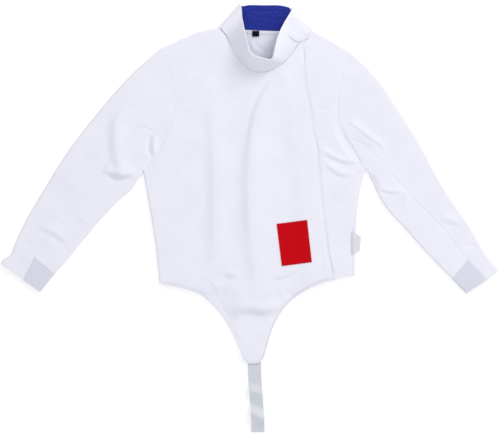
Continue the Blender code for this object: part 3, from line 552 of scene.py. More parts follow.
def level_at_edges(n, grid):
    """Turns the normals level, out of the garment, where the cloth turns round a closed edge."""
    plan = grid[..., :2].reshape(-1, 2)
    total = np.zeros_like(plan)
    for line, hand in CLOSED_EDGES:
        d, _, share = distance(plan, line, 1.0)
        run = along(line, np.clip(share + 0.004, 0, 1)) - along(line, np.clip(share - 0.004, 0, 1))
        run /= np.maximum(np.linalg.norm(run, axis=1), 1e-9)[:, None]
        total += (d < ON_EDGE)[:, None] * hand * np.stack([-run[:, 1], run[:, 0]], axis=1)
    size = np.linalg.norm(total, axis=1)
    at = np.flatnonzero(size > 0.1)
    flat = n.reshape(-1, 3)
    flat[at, :2] = total[at] / size[at][:, None]
    flat[at, 2] = 0
    return flat.reshape(n.shape)


def pulled_in(grid, sides, gap=SHOWN_GAP):
    """The grid with the named sides moved in a little, so that neighbours don't share a face."""
    g = grid.copy()
    pairs = {"top": (np.s_[0], np.s_[1]), "bottom": (np.s_[-1], np.s_[-2])}
    pairs |= {"start": (np.s_[:, 0], np.s_[:, 1]), "end": (np.s_[:, -1], np.s_[:, -2])}
    for side in sides:
        edge, inside = pairs[side]
        run = g[inside] - g[edge]
        g[edge] += gap * run / np.linalg.norm(run, axis=-1)[..., None]
    return g


def grid_lengths(grid):
    """Lengths along a grid's rows and down its columns, in metres, for the weave."""
    across = np.linalg.norm(np.diff(grid, axis=1), axis=-1)
    down = np.linalg.norm(np.diff(grid, axis=0), axis=-1)
    u = np.concatenate([np.zeros((grid.shape[0], 1)), np.cumsum(across, axis=1)], axis=1)
    v = np.concatenate([np.zeros((1, grid.shape[1])), np.cumsum(down, axis=0)], axis=0)
    u -= u[:, u.shape[1] // 2 : u.shape[1] // 2 + 1]
    return np.stack([u, v], axis=-1) * MM


def add_piece(name, points, faces, look, uv=None, sharp=50):
    mesh = bpy.data.meshes.new(name)
    mesh.from_pydata((points * MM).tolist(), [], faces)
    mesh.materials.append(LOOKS[look])
    mesh.shade_smooth()
    mesh.set_sharp_from_angle(angle=math.radians(sharp))
    if uv is not None:
        corner = np.empty(len(mesh.loops), int)
        mesh.loops.foreach_get("vertex_index", corner)
        mesh.uv_layers.new(name="weave").data.foreach_set("uv", uv[corner].ravel())
    piece = bpy.data.objects.new(name, mesh)
    bpy.context.scene.collection.objects.link(piece)
    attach(piece, "root")
    return piece


def shell(name, outer, normals, thickness, look, node=None):
    """A closed shell of cloth between a grid of outer points and the same points moved in."""
    inner = outer - normals * thickness
    rows, columns = outer.shape[:2]
    number = np.arange(rows * columns).reshape(rows, columns)
    a, b, c, d = number[:-1, :-1], number[:-1, 1:], number[1:, 1:], number[1:, :-1]
    faces = np.stack([a, d, c, b], axis=-1).reshape(-1, 4).tolist()
    other = rows * columns
    faces += (np.stack([a, b, c, d], axis=-1).reshape(-1, 4) + other).tolist()
    loop = [*number[0, :-1], *number[:-1, -1], *number[-1, :0:-1], *number[:0:-1, 0]]
    for here, there in zip(loop, loop[1:] + loop[:1]):
        faces.append([int(here), int(there), int(there) + other, int(here) + other])
    points = np.concatenate([outer.reshape(-1, 3), inner.reshape(-1, 3)])
    points[:, 2] = np.maximum(points[:, 2], 0)
    uv = grid_lengths(outer).reshape(-1, 2)
    piece = add_piece(name, points, faces, look, np.concatenate([uv, uv]))
    if node:
        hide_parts(node)
    return piece


def surface_of(pieces):
    """The surface of finished pieces, in metres."""
    points, faces = [], []
    for piece in pieces:
        start = len(points)
        points += [vertex.co.copy() for vertex in piece.data.vertices]
        faces += [[start + k for k in face.vertices] for face in piece.data.polygons]
    return BVHTree.FromPolygons(points, faces)


def height_on(surface, plan):
    """The height of a surface at points in plan, or of its nearest place beside it."""
    heights = []
    for x, y in plan.reshape(-1, 2) * MM:
        place = surface.ray_cast((x, y, 100 * MM), (0, 0, -1))[0]
        if place is None:
            place = surface.find_nearest((x, y, EDGE_MID * MM))[0]
        heights.append(place.z / MM)
    return np.array(heights).reshape(plan.shape[:-1])


def evened(height, passes):
    """A height field without its small steps."""
    for _ in range(passes):
        padded = np.pad(height, 1, mode="edge")
        height = (padded[:-2, 1:-1] + padded[2:, 1:-1] + padded[1:-1, :-2] + padded[1:-1, 2:] + 4 * height) / 8
    return height


def stitch_rows(name, rows, look="thread", pitch=STITCH_PITCH):
    """Stitches as small rounded bars along lines of points, each with its normals."""
    points, faces = [], []
    for line, normals in rows:
        t = lengths(line)
        count = max(int(t[-1] / pitch), 1)
        centre = (np.arange(count) + 0.5) * t[-1] / count
        at = np.stack([centre - STITCH_LENGTH / 2, centre + STITCH_LENGTH / 2])
        ends = np.stack([np.interp(at, t, line[:, k]) for k in range(3)], axis=-1)
        up = np.stack([np.interp(centre, t, normals[:, k]) for k in range(3)], axis=-1)
        run = ends[1] - ends[0]
        side = np.cross(up, run)
        side *= STITCH_WIDTH / 2 / np.maximum(np.linalg.norm(side, axis=1), 1e-9)[:, None]
        for a, b, u, s in zip(*ends, up, side):
            start = len(points)
            ring = [s, u * STITCH_HEIGHT, -s, -u * STITCH_HEIGHT]
            points += [a, *(0.75 * a + 0.25 * b + r for r in ring), *(0.25 * a + 0.75 * b + r for r in ring), b]
            for k in range(4):
                here, there = start + 1 + k, start + 1 + (k + 1) % 4
                faces += [(start, there, here), (here, there, there + 4, here + 4), (start + 9, here + 4, there + 4)]
    return add_piece(name, np.array(points), faces, look)


def upright(plan, height, normal=(0.0, 0.0, 1.0)):
    """A line of stitches on a height field, with its normals."""
    line = with_height(plan, height)
    return line, np.broadcast_to(np.array(normal), line.shape)


# Materials


class Shader:
    """A material's nodes, with short calls for the ones that are used here."""

    def __init__(self, name, colour, roughness, **constants):
        self.material = bpy.data.materials.new(name)
        self.material.use_nodes = True
        self.tree = self.material.node_tree
        self.surface = self.tree.nodes["Principled BSDF"]
        self.surface.inputs["Base Color"].default_value = (*colour, 1)
        self.surface.inputs["Roughness"].default_value = roughness
        for socket, value in constants.items():
            self.surface.inputs[socket.replace("_", " ")].default_value = value

    def node(self, kind, **settings):
        made = self.tree.nodes.new(kind)
        for name, value in settings.items():
            if hasattr(made, name):
                setattr(made, name, value)
            else:
                made.inputs[name.replace("_", " ")].default_value = value
        return made

    def link(self, out, into):
        self.tree.links.new(out, into)

    def weave(self, turn, scale):
        """The weave's own coordinates in metres, turned and scaled."""
        source = self.node("ShaderNodeUVMap", uv_map="weave")
        mapping = self.node("ShaderNodeMapping")
        mapping.inputs["Rotation"].default_value = (0, 0, math.radians(turn))
        mapping.inputs["Scale"].default_value = (scale, scale, scale)
        self.link(source.outputs["UV"], mapping.inputs["Vector"])
        return mapping.outputs["Vector"]

    def place(self, scale):
        """Places on the object in metres, scaled."""
        source = self.node("ShaderNodeTexCoord")
        mapping = self.node("ShaderNodeMapping")
        mapping.inputs["Scale"].default_value = (scale, scale, scale)
        self.link(source.outputs["Object"], mapping.inputs["Vector"])
        return mapping.outputs["Vector"]

    def noise(self, vector, detail=2.0, roughness=0.5):
        made = self.node("ShaderNodeTexNoise", Scale=1.0, Detail=detail, Roughness=roughness)
        self.link(vector, made.inputs["Vector"])
        return made.outputs["Fac"]

    def wave(self, vector, distortion=0.0):
        made = self.node("ShaderNodeTexWave", wave_profile="SIN", Scale=1.0, Distortion=distortion)
        self.link(vector, made.inputs["Vector"])
        return made.outputs["Fac"]

    def sum(self, parts):
        """Adds outputs, each times its weight."""
        total = None
        for output, weight in parts:
            made = self.node("ShaderNodeMath", operation="MULTIPLY_ADD")
            self.link(output, made.inputs[0])
            made.inputs[1].default_value = weight
            if total is None:
                made.inputs[2].default_value = 0
            else:
                self.link(total, made.inputs[2])
            total = made.outputs[0]
        return total

    def colours(self, factor, low, high, start=0.3, end=0.7):
        ramp = self.node("ShaderNodeValToRGB")
        ramp.color_ramp.elements[0].position = start
        ramp.color_ramp.elements[0].color = (*low, 1)
        ramp.color_ramp.elements[1].position = end
        ramp.color_ramp.elements[1].color = (*high, 1)
        self.link(factor, ramp.inputs["Fac"])
        self.link(ramp.outputs["Color"], self.surface.inputs["Base Color"])

    def bump(self, height, depth_mm, strength=1.0):
        made = self.node("ShaderNodeBump", Distance=depth_mm * MM, Strength=strength)
        self.link(height, made.inputs["Height"])
        self.link(made.outputs["Normal"], self.surface.inputs["Normal"])


def cloth_look():
    """Dense white twill with a faint nap."""
    s = Shader("white_cloth", (0.79, 0.79, 0.865), 0.92, Sheen_Weight=0.12, Sheen_Roughness=0.5)
    s.surface.inputs["Specular IOR Level"].default_value = 0.2
    twill = s.wave(s.weave(40, 420), 0.6)
    rib = s.wave(s.weave(-52, 330), 0.8)
    nap = s.noise(s.place(900), 3)
    soft = s.noise(s.place(18), 2)
    s.bump(s.sum([(twill, 0.5), (rib, 0.3), (nap, 0.4)]), 0.12, 0.6)
    s.colours(s.sum([(soft, 0.6), (nap, 0.4)]), (0.77, 0.77, 0.85), (0.81, 0.81, 0.88))
    return s.material


def elastic_look():
    """Grey ribbed elastic."""
    s = Shader("elastic", (0.66, 0.67, 0.76), 0.7, Sheen_Weight=0.1)
    s.surface.inputs["Specular IOR Level"].default_value = 0.2
    rib = s.wave(s.weave(0, 300), 0.3)
    cross = s.wave(s.weave(90, 420), 0.4)
    nap = s.noise(s.place(700), 2)
    s.bump(s.sum([(rib, 0.8), (cross, 0.3), (nap, 0.2)]), 0.2, 0.7)
    s.colours(s.sum([(rib, 0.5), (nap, 0.5)]), (0.63, 0.64, 0.725), (0.69, 0.70, 0.79))
    return s.material


def strap_look():
    """Smooth satin elastic."""
    s = Shader("strap_satin", (0.61, 0.63, 0.69), 0.45, Sheen_Weight=0.1)
    s.surface.inputs["Specular IOR Level"].default_value = 0.75
    rib = s.wave(s.weave(90, 160), 0.2)
    cross = s.wave(s.weave(0, 500), 0.3)
    s.bump(s.sum([(rib, 0.6), (cross, 0.4)]), 0.12, 0.6)
    s.colours(rib, (0.54, 0.56, 0.62), (0.61, 0.63, 0.69))
    return s.material


def lining_look():
    """Blue lining with a fine grain."""
    s = Shader("blue_lining", (0.014, 0.027, 0.26), 0.65)
    s.surface.inputs["Specular IOR Level"].default_value = 0.15
    fine = s.wave(s.weave(45, 500), 0.6)
    nap = s.noise(s.place(220), 3)
    s.bump(s.sum([(fine, 0.3), (nap, 0.7)]), 0.15, 0.7)
    s.colours(nap, (0.010, 0.018, 0.19), (0.018, 0.036, 0.33))
    return s.material


def patch_look():
    """Red felt-like weave."""
    s = Shader("red_patch", (0.53, 0.0025, 0.006), 0.85)
    s.surface.inputs["Specular IOR Level"].default_value = 0.05
    fine = s.wave(s.weave(45, 450), 0.8)
    nap = s.noise(s.place(500), 4)
    s.bump(s.sum([(fine, 0.4), (nap, 0.6)]), 0.15, 0.7)
    s.colours(nap, (0.49, 0.0015, 0.005), (0.56, 0.003, 0.008))
    return s.material


def label_look():
    """Black woven label."""
    s = Shader("black_label", (0.004, 0.005, 0.01), 0.7)
    s.surface.inputs["Specular IOR Level"].default_value = 0.1
    fine = s.wave(s.weave(0, 700), 0.2)
    s.bump(fine, 0.1, 0.6)
    s.colours(fine, (0.002, 0.0025, 0.006), (0.006, 0.007, 0.014))
    return s.material


def satin_look(name, low, high):
    """White tape and labels."""
    s = Shader(name, high, 0.45, Sheen_Weight=0.2)
    fine = s.wave(s.weave(90, 700), 0.2)
    nap = s.noise(s.place(300), 2)
    s.bump(s.sum([(fine, 0.6), (nap, 0.4)]), 0.08, 0.6)
    s.colours(s.sum([(fine, 0.3), (nap, 0.7)]), low, high)
    return s.material


def thread_look(name, colour, roughness):
    """Twisted sewing thread."""
    s = Shader(name, colour, roughness)
    twist = s.noise(s.place(1500), 2)
    s.bump(twist, 0.05, 0.5)
    s.colours(twist, tuple(0.85 * c for c in colour), colour)
    return s.material


LOOKS = {
    "cloth": cloth_look(),
    "elastic": elastic_look(),
    "strap": strap_look(),
    "lining": lining_look(),
    "patch": patch_look(),
    "label": label_look(),
    "satin": satin_look("white_tape", (0.70, 0.71, 0.79), (0.77, 0.77, 0.85)),
    "label_satin": satin_look("care_label", (0.60, 0.60, 0.66), (0.68, 0.68, 0.74)),
    "thread": thread_look("white_thread", (0.82, 0.82, 0.9), 0.5),
    "dark_thread": thread_look("dark_thread", (0.05, 0.01, 0.012), 0.6),
}


# The body panels

BODY_ROWS = (104, 78)
FRONT_COLUMNS = 118
SIDE_COLUMNS = 22
BACK_BODY_ROWS = (62, 46)
BACK_COLUMNS = 96


def side_points(armhole, side, counts):
    """A body edge from the shoulder point through the underarm to the hem."""
    upper = along(smooth(armhole), shares(counts[0], end=False))
    lower = along(smooth(side), np.linspace(0, 1, counts[1] + 1))
    return np.concatenate([upper, lower[1:]])


def rows_like(line, edge):
    """Points on a line, spaced as the points of an edge are."""
    return along(line, lengths(edge) / lengths(edge)[-1])


def front_plans():
    """Plan grids of the front, right and left of the closure line."""
    right_edge = side_points(RIGHT_ARMHOLE, RIGHT_SIDE, BODY_ROWS)
    left_edge = side_points(LEFT_ARMHOLE, LEFT_FRONT_EDGE, BODY_ROWS)
    split = int(np.linalg.norm(FRONT_NECK - CLOSURE_LINE[0], axis=1).argmin())
    below_neck = CLOSURE_LINE[CLOSURE_LINE[:, 1] < FRONT_NECK[split, 1] - 4]
    closure = rows_like(np.concatenate([FRONT_NECK[split : split + 1], below_neck]), right_edge)
    to_neck = [smooth(RIGHT_SHOULDER)[:-1], RIGHT_NECK[::-1], FRONT_NECK[::-1][1 : len(FRONT_NECK) - split]]
    hem = [smooth(RIGHT_HEM)[:-1], smooth(TONGUE_END), smooth(LEFT_HEM)[1:]]
    across = shares(FRONT_COLUMNS)
    right = between(
        along(np.concatenate(to_neck), across),
        along(np.concatenate(hem), across),
        right_edge,
        closure,
    )
    across = shares(SIDE_COLUMNS)
    left = between(
        along(np.concatenate([FRONT_NECK[: split + 1][::-1], smooth(LEFT_SHOULDER)]), across),
        along(smooth(SIDE_HEM), across),
        closure,
        left_edge,
    )
    return right, left


def build_front():
    """The two fronts. The left one starts with the columns of the right one that it lies under."""
    right, left = front_plans()
    run = np.linalg.norm(right[:, ::-1] - right[:, -1:], axis=-1)
    lap = int((run.max(axis=0) < UNDERLAP).sum())
    main = with_height(right, raised_height)
    n = level_at_edges(grid_normals(main), main)
    shell("front_main_cloth", pulled_in(main, ["start", "top"]), n, CLOTH, "cloth", "front_main")
    side = with_height(np.concatenate([right[:, -lap:-1], left], axis=1), top_height)
    n = level_at_edges(grid_normals(side), side)
    shell("front_side_cloth", pulled_in(side, ["end", "top"]), n, CLOTH, "cloth", "front_side")
    return main


def build_side_wrap():
    """The back panel's cloth where it comes round the left side, up to the front's edge."""
    down = np.linspace(0.03, 1, 90)
    front_edge = along(smooth(LEFT_FRONT_EDGE), down)[:, None]
    side_edge = along(smooth(LEFT_SIDE), down)[:, None]
    across = (1 - (1 - np.linspace(0, 1, 15)) ** 2)[None, :, None]
    grid = with_height(front_edge + (side_edge - front_edge) * across, top_height)
    n = level_at_edges(grid_normals(grid), grid)
    shell("back_wrap_cloth", pulled_in(grid, ["start"]), n, CLOTH, "cloth")


def build_back():
    neck = collar_line("right fold low", "left fold low")[:, :2] - np.array([0, 4 * SEAM])
    top = np.concatenate([smooth(RIGHT_SHOULDER), neck, smooth(LEFT_SHOULDER)])
    across = shares(BACK_COLUMNS)
    hem = [RIGHT_SIDE[-1], (STRAP_TOP_X, BACK_HEM), LEFT_SIDE[-1]]
    plan = between(
        along(top, across),
        along(smooth(hem), across),
        side_points(RIGHT_BACK_ARMHOLE, RIGHT_SIDE, BACK_BODY_ROWS),
        side_points(LEFT_BACK_ARMHOLE, LEFT_SIDE, BACK_BODY_ROWS),
    )
    grid = with_height(plan, under_height)[:, ::-1]
    n = level_at_edges(grid_normals(grid), grid)
    shell("back_cloth", pulled_in(grid, ["start", "end", "top"]), n, CLOTH, "cloth", "back")


# The sleeves

SLEEVE_ROWS = 150
INSET_ROWS = 22
ARMHOLE_POINTS = 120
BACK_ARMHOLE_POINTS = 72


def sleeve_piece(name, node, thickness, look, fold, over, under):
    """A C-shaped piece round a closed edge of a sleeve. over and under each give the edges of a face of it:
    the start and end from the fold to the seam, and the seam, point for point with the fold."""
    over_plan = between(over["start"], over["end"], fold, over["seam"])
    under_plan = between(under["start"], under["end"], fold, under["seam"])
    over_grid = with_height(over_plan, top_height)
    over_grid[:, 0, 2] = EDGE_MID
    under_grid = with_height(under_plan, under_height)
    grid = np.concatenate([under_grid[:, :0:-1], over_grid], axis=1)
    n = grid_normals(grid)
    if n[n.shape[0] // 2, -2, 2] < 0:
        grid = grid[:, ::-1]
        n = grid_normals(grid)
    return shell(name, pulled_in(grid, ["top", "bottom", "start", "end"]), n, thickness, look, node)


def even_between(a, b, like):
    """Points from a to b, spaced as the points of another line are."""
    share = (lengths(like) / lengths(like)[-1])[:, None]
    return (1 - share) * np.array(a, float) + share * np.array(b, float)


def build_sleeve(side):
    s = SLEEVES[side]
    armhole = smooth(s["armhole"])
    back_armhole = smooth(s["back_armhole"])
    even = np.linspace(0, 1, SLEEVE_ROWS + 1)
    inset = np.linspace(0, 1, INSET_ROWS + 1)
    k = int(np.linalg.norm(armhole - np.array(s["seam"][0]), axis=1).argmin())
    half = int(np.searchsorted(lengths(back_armhole), lengths(back_armhole)[-1] / 2))
    seam = along(smooth([tuple(armhole[k])] + s["seam"][1:]), even)
    whole = np.concatenate([even * SLEEVE_ROWS, SLEEVE_ROWS + inset[1:] * INSET_ROWS])
    outer = along(smooth(s["outer"]), whole / whole[-1])
    inner = along(smooth(s["inner"]), even)
    elbow = (outer[int(len(outer) * 8 / 15)] + inner[int(len(inner) * 7 / 13)]) / 2
    hidden = along(smooth([back_armhole[half], elbow, (inner[-1] + seam[-1]) / 2]), even)
    wrist_middle = (np.array(s["wrist_outer"]) + np.array(s["wrist_fold"])) / 2
    seam_end = along(np.array([seam[-1], s["wrist_seam"]]), inset)
    hidden_end = along(np.array([hidden[-1], wrist_middle]), inset)
    fold_end = along(np.array([inner[-1], s["wrist_fold"]]), inset)
    start = along(armhole[: k + 1], shares(int(ARMHOLE_POINTS * 0.6)))
    under_start = along(back_armhole[: half + 1], shares(BACK_ARMHOLE_POINTS // 2))
    end = even_between(s["wrist_outer"], s["wrist_seam"], start)
    under_end = even_between(s["wrist_outer"], wrist_middle, under_start)
    sleeve_piece(
        f"sleeve_{side}_upper_cloth", f"sleeve_{side}_upper", CLOTH, "cloth", outer,
        dict(start=start, end=end, seam=np.concatenate([seam, seam_end[1:]])),
        dict(start=under_start, end=under_end, seam=np.concatenate([hidden, hidden_end[1:]])),
    )
    start = along(armhole[k:][::-1], shares(int(ARMHOLE_POINTS * 0.4)))
    under_start = along(back_armhole[half:][::-1], shares(BACK_ARMHOLE_POINTS // 2))
    inset_start = even_between(inner[-1], seam[-1], start)
    inset_under_start = even_between(inner[-1], hidden[-1], under_start)
    sleeve_piece(
        f"sleeve_{side}_under_cloth", f"sleeve_{side}_under", CLOTH, "cloth", inner,
        dict(start=start, end=inset_start, seam=seam),
        dict(start=under_start, end=inset_under_start, seam=hidden),
    )
    end = even_between(s["wrist_fold"], s["wrist_seam"], inset_start)
    under_end = even_between(s["wrist_fold"], wrist_middle, inset_under_start)
    sleeve_piece(
        f"wrist_inset_{side}_knit", f"wrist_inset_{side}", ELASTIC, "elastic", fold_end,
        dict(start=inset_start, end=end, seam=seam_end),
        dict(start=inset_under_start, end=under_end, seam=hidden_end),
    )


# The collar

COLLAR_ROWS = 18
TOP_STITCH_ROW = 2
JOINT_STITCH_COLUMN = 2
LINING_WRINKLES = [(352, 0.9), (343, 0.7), (361, 0.8), (334, 0.6), (370, 0.7)]


def collar_grid(section, top_share=0.0, seam_share=1.0, rows=COLLAR_ROWS):
    """Points on the middle of the collar's wall, from its top edge down to the neck seam."""
    down = np.linspace(top_share, seam_share, rows + 1)[:, None, None]
    seam, top = section[None, :, :3], section[None, :, 3:]
    grid = top + (seam - top) * down
    grid[..., 2] = np.maximum(grid[..., 2], LOWEST_MIDDLE)
    return grid


def build_collar():
    joints = ["right joint", "left joint"]
    pieces, sewn = [], []
    for name, ends in (("collar_back", joints), ("collar_front", joints[::-1])):
        grid = pulled_in(collar_grid(collar_line(*ends)), ["start", "end"])
        n = grid_normals(grid)
        away = n[COLLAR_ROWS // 2, grid.shape[1] // 2] @ np.array([0, -1, -1])
        if away < 0:
            grid, n = grid[:, ::-1], -n[:, ::-1]
        outer = grid + n * CLOTH / 2
        pieces.append(shell(f"{name}_cloth", outer, n, CLOTH, "cloth", name))
        sewn.append((outer[TOP_STITCH_ROW], n[TOP_STITCH_ROW]))
        sewn.append((outer[:, JOINT_STITCH_COLUMN], n[:, JOINT_STITCH_COLUMN]))
    stitch_rows("collar_stitches", sewn)
    return pieces


def build_lining():
    """The collar's lining, with the wrinkles that run round the neck."""
    grid = collar_grid(collar_line("right fold low", "left fold low")[3:-3], 0.015, 0.97, 60)
    n = grid_normals(grid)
    if n[0, n.shape[1] // 2, 2] < 0:
        grid, n = grid[:, ::-1], -n[:, ::-1]
    x, y = grid[..., 0], grid[..., 1]
    wrinkle = np.zeros_like(x)
    for k, (at, height) in enumerate(LINING_WRINKLES):
        centre = at + 2.2 * np.sin(x / 23 + 1.9 * k) + 0.02 * (k - 2) * (x - 25)
        wrinkle += height * np.exp(-(((y - centre) / 2.6) ** 2))
    outer = grid + n * (CLOTH / 2 + SEAM + LINING + wrinkle)[..., None]
    shell("collar_lining_cloth", outer, n, LINING, "lining", "collar_lining")


TAB_SEWN_ROWS = [2, -3]
TAB_SEWN_DEPTH = 0.8


def build_tab(under):
    """The tab on the collar's left side, laid over the pieces under it."""
    even = np.linspace(0, 1, 41)
    down = np.linspace(0, 1, 31)
    plan = between(
        along(smooth(TAB_TOP), even), along(smooth(TAB_BOTTOM), even), along(smooth(TAB_START), down), along(smooth(TAB_END), down)
    )
    rise = (2 * TRIM_GAP + CLOTH) * soft_step(even, -0.05, 0.25)[None]
    height = evened(height_on(surface_of(under), plan), 12) + rise
    height[TAB_SEWN_ROWS] -= TAB_SEWN_DEPTH
    height[:, TAB_SEWN_ROWS[-1]] -= TAB_SEWN_DEPTH
    outer = np.concatenate([plan, height[..., None]], axis=-1)
    n = grid_normals(outer)
    shell("collar_tab_cloth", outer, n, CLOTH, "cloth", "collar_tab")
    lines = [(2, np.s_[10:-2]), (-3, np.s_[10:-2]), (np.s_[2:-2], -3)]
    stitch_rows("tab_stitches", [(outer[at], n[at]) for at in lines])


# Trim


def corners_grid(corners, rows, columns):
    """An even grid over a four-cornered piece: top start, top end, bottom end, bottom start."""
    a, b, c, d = np.array(corners, float)
    down = np.linspace(0, 1, rows + 1)[:, None, None]
    across = np.linspace(0, 1, columns + 1)[None, :, None]
    return (1 - down) * ((1 - across) * a + across * b) + down * ((1 - across) * d + across * c)


def flat_piece(name, plan, height, thickness, look, node):
    outer = np.concatenate([plan, np.broadcast_to(height, plan.shape[:2])[..., None]], axis=-1)
    return shell(name, outer, grid_normals(outer), thickness, look, node)


def build_neck_trim():
    seam = along(collar_line("right fold low", "left fold low")[:, :2], np.linspace(0.13, 0.84, 60))
    below = np.array([0, 5 * SEAM])
    rows = np.linspace(0, 1, 5)[:, None, None] * np.array([0, -NECK_TAPE_WIDTH])
    tape = seam[None] - below + rows
    flat_piece("neck_tape_strip", tape, CLOTH + SEAM + TRIM, TRIM, "satin", "neck_tape")
    label = [SIZE_LABEL[k] for k in ("left", "right", "top", "bottom")]
    corners = [(label[0], label[2]), (label[1], label[2]), (label[1], label[3]), (label[0], label[3])]
    plan = corners_grid(corners, 14, 14)
    height = CLOTH + 2 * SEAM + 2 * TRIM + 0.3 * np.cos(plan[..., 0] / 4)
    flat_piece("size_label_tag", plan, height, TRIM, "label", "size_label")
    plan = corners_grid(NECK_LOOP_CORNERS, 10, 10)
    flat_piece("neck_loop_cloth", plan, CLOTH + SEAM + CLOTH / 2, CLOTH / 2, "cloth", "neck_loop")


def build_patch():
    plan = corners_grid(PATCH_CORNERS, 48, 36)
    height = raised_height(plan) + TRIM_GAP + TRIM
    flat_piece("chest_patch_felt", plan, height, TRIM, "patch", "chest_patch")
    outer = np.concatenate([plan, height[..., None]], axis=-1)
    sides = [(1, np.s_[1:-1]), (-2, np.s_[1:-1]), (np.s_[1:-1], 1), (np.s_[1:-1], -2)]
    n = grid_normals(outer)
    stitch_rows("patch_stitches", [(outer[at], n[at]) for at in sides], "dark_thread")


def build_binding(main):
    """The tape folded over the hem and round the tongue."""
    edge = main[-1, len(CLOSE) - 1 :]
    run = main[-4, len(CLOSE) - 1 :] - edge
    run /= np.linalg.norm(run, axis=-1)[:, None]
    profile = [(1.0, 0.1), (0.94, 0.85), (0.8, 1.1), (0.5, 1.2), (0.2, 1.2), (0.02, 0.95), (-0.05, 0.3), (-0.05, -1)]
    rows = [edge + run * BINDING_WIDTH * share + np.array([0, 0, TRIM * up + SEAM]) for share, up in profile]
    outer = np.stack(rows)
    n = grid_normals(outer)
    shell("hem_binding_tape", outer, n, 0.3, "satin", "hem_binding")
    stitch_rows("hem_stitches", [(outer[2], n[2])])


def build_care_label():
    plan = corners_grid(CARE_LABEL_CORNERS, 16, 30)
    reach = (plan[..., 0] - plan[..., 0].min()) / (plan[..., 0].max() - plan[..., 0].min())
    height = CARE_LABEL_TOP - (CARE_LABEL_TOP - CARE_LABEL_TIP) * soft_step(reach, 0.1, 1.1)
    flat_piece("care_label_tag", plan, height, TRIM, "label_satin", "care_label")


def build_strap():
    """The strap: down from the tongue, round its end and back along the surface to the back's hem."""
    shown = along(smooth(STRAP_WAVES), np.linspace(0, 1, 161))
    below = along(smooth(STRAP_RETURN), np.linspace(0, 1, 61))
    path = np.concatenate([shown, below[1:]])
    run = np.gradient(path, axis=0)
    run /= np.linalg.norm(run, axis=1)[:, None]
    # Down the garment on top, the side that faces up is to the left of the run.
    out = np.stack([-run[:, 1], run[:, 0]], axis=1)
    out *= np.sign(out[0, 1])
    outer = path + out * ELASTIC / 2
    columns = 12
    across = np.linspace(-0.5, 0.5, columns + 1) * STRAP_WIDTH
    x = strap_x(path[:, 0])[:, None] + across[None]
    grid = np.dstack([x, np.repeat(outer[:, None], columns + 1, axis=1)])
    n = np.dstack([np.zeros_like(x), np.repeat(out[:, None], columns + 1, axis=1)])
    skew_y, skew = np.array(STRAP_SKEWS)[::-1].T
    top = slice(0, len(shown) - 20)
    place = path[top, 0][:, None] + np.interp(path[top, 0], skew_y, skew, 0, 0)[:, None] * across[None]
    order = np.argsort(path[top, 0])
    level = np.interp(path[top, 0], path[top, 0][order], path[top, 1][order])
    grid[top, :, 2] += np.interp(place, path[top, 0][order], path[top, 1][order]) - level[:, None]
    shell("strap_elastic", grid, n, ELASTIC, "strap", "strap")


def build_sewing():
    """The rows of stitches beside the panels' seams and hems."""
    closure = offset(along(CLOSURE_LINE, np.linspace(0.03, 0.985, 200)), -CLOSURE_STITCH)
    stitch_rows("closure_stitches", [upright(closure, raised_height)])
    even = np.linspace(0.02, 0.98, 160)
    armholes = [
        upright(offset(along(smooth(LEFT_ARMHOLE), even), ARMHOLE_STITCH), top_height),
        upright(offset(along(smooth(RIGHT_ARMHOLE), even), -ARMHOLE_STITCH), top_height),
    ]
    for hidden, out in ((LEFT_BACK_ARMHOLE, 1), (RIGHT_BACK_ARMHOLE, -1)):
        line = offset(along(smooth(hidden), even), out * SEAM_STITCH)
        armholes.append(upright(line, under_height, (0.0, 0.0, -1.0)))
    stitch_rows("armhole_stitches", armholes)
    sleeves = []
    for name, hand in (("right", 1), ("left", -1)):
        s = SLEEVES[name]
        seam = along(smooth(s["seam"] + [s["wrist_seam"]]), even)
        sleeves.append(upright(offset(seam, -hand * SEAM_STITCH), top_height))
        for a, b in (("wrist_outer", "wrist_seam"), ("wrist_seam", "wrist_fold")):
            wrist = along(smooth([s[a], s[b]]), np.linspace(0.12, 0.88, 30))
            sleeves.append(upright(offset(wrist, hand * CUFF_STITCH), top_height))
    stitch_rows("sleeve_stitches", sleeves)


def build_all():
    main = build_front()
    build_side_wrap()
    build_back()
    for name in SLEEVES:
        build_sleeve(name)
    build_tab(build_collar() + [bpy.data.objects["front_side_cloth"]])
    build_lining()
    build_sewing()
    build_neck_trim()
    build_patch()
    build_binding(main)
    build_care_label()
    build_strap()


# Light, floor and camera

CAMERA_HEIGHT = 16.0
PHOTO_WIDTH = 1.150
PHOTO_CENTRE = (-0.0092, -0.1162)
EDGE_LEVEL = 0.004
SKY_HORIZON = 0.49
SKY_RISE = 0.45


def build_stage():
    floor_mesh = bpy.data.meshes.new("floor")
    half = 8.0
    low = -0.0004
    floor_mesh.from_pydata([(-half, -half, low), (half, -half, low), (half, half, low), (-half, half, low)], [], [(0, 1, 2, 3)])
    s = Shader("floor", (0.5, 0.5, 0.5), 0.9)
    s.surface.inputs["Specular IOR Level"].default_value = 0.0
    s.surface.inputs["Emission Color"].default_value = (1, 1, 1, 1)
    s.surface.inputs["Emission Strength"].default_value = 0.54
    floor_mesh.materials.append(s.material)
    floor = bpy.data.objects.new("floor", floor_mesh)
    bpy.context.scene.collection.objects.link(floor)


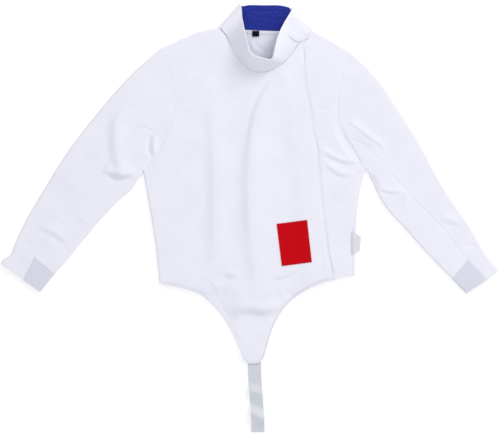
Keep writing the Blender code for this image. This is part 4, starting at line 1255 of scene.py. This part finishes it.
def add_area(name, place, target, size, energy, colour):
    light = bpy.data.lights.new(name, "AREA")
    light.shape = "SQUARE"
    light.size = size
    light.energy = energy
    light.color = colour
    lamp = bpy.data.objects.new(name, light)
    lamp.location = place
    lamp.rotation_mode = "QUATERNION"
    lamp.rotation_quaternion = (Vector(target) - Vector(place)).to_track_quat("-Z", "Y")
    bpy.context.scene.collection.objects.link(lamp)


def build_light():
    """A soft studio sky, strongest from above, with a lamp at the upper right and a weak one below."""
    world = bpy.data.worlds.new("studio")
    world.use_nodes = True
    tree = world.node_tree
    place = tree.nodes.new("ShaderNodeTexCoord")
    split = tree.nodes.new("ShaderNodeSeparateXYZ")
    upward = tree.nodes.new("ShaderNodeMath")
    upward.operation = "ABSOLUTE"
    strength = tree.nodes.new("ShaderNodeMath")
    strength.operation = "MULTIPLY_ADD"
    strength.inputs[1].default_value = SKY_RISE
    strength.inputs[2].default_value = SKY_HORIZON
    tree.links.new(place.outputs["Generated"], split.inputs["Vector"])
    tree.links.new(split.outputs["Z"], upward.inputs[0])
    tree.links.new(upward.outputs[0], strength.inputs[0])
    tree.links.new(strength.outputs[0], tree.nodes["Background"].inputs["Strength"])
    tree.nodes["Background"].inputs["Color"].default_value = (0.97, 0.975, 1.0, 1)
    bpy.context.scene.world = world
    add_area("key", (2.6, 3.1, 2.6), (0, -0.1, 0), 2.0, 106, (1.0, 0.99, 0.98))
    add_area("fill", (-0.6, -3.2, 2.0), (0, -0.1, 0), 2.0, 19, (0.98, 0.99, 1.0))
    bpy.context.scene.view_settings.view_transform = "Standard"


def build_camera():
    camera = bpy.data.cameras.new("camera")
    camera.sensor_width = 36
    camera.lens = 36 * (CAMERA_HEIGHT - EDGE_LEVEL) / PHOTO_WIDTH
    camera.clip_end = 100
    eye = bpy.data.objects.new("camera", camera)
    eye.location = (*PHOTO_CENTRE, CAMERA_HEIGHT)
    bpy.context.scene.collection.objects.link(eye)
    bpy.context.scene.camera = eye


build_all()
build_stage()
build_light()
build_camera()
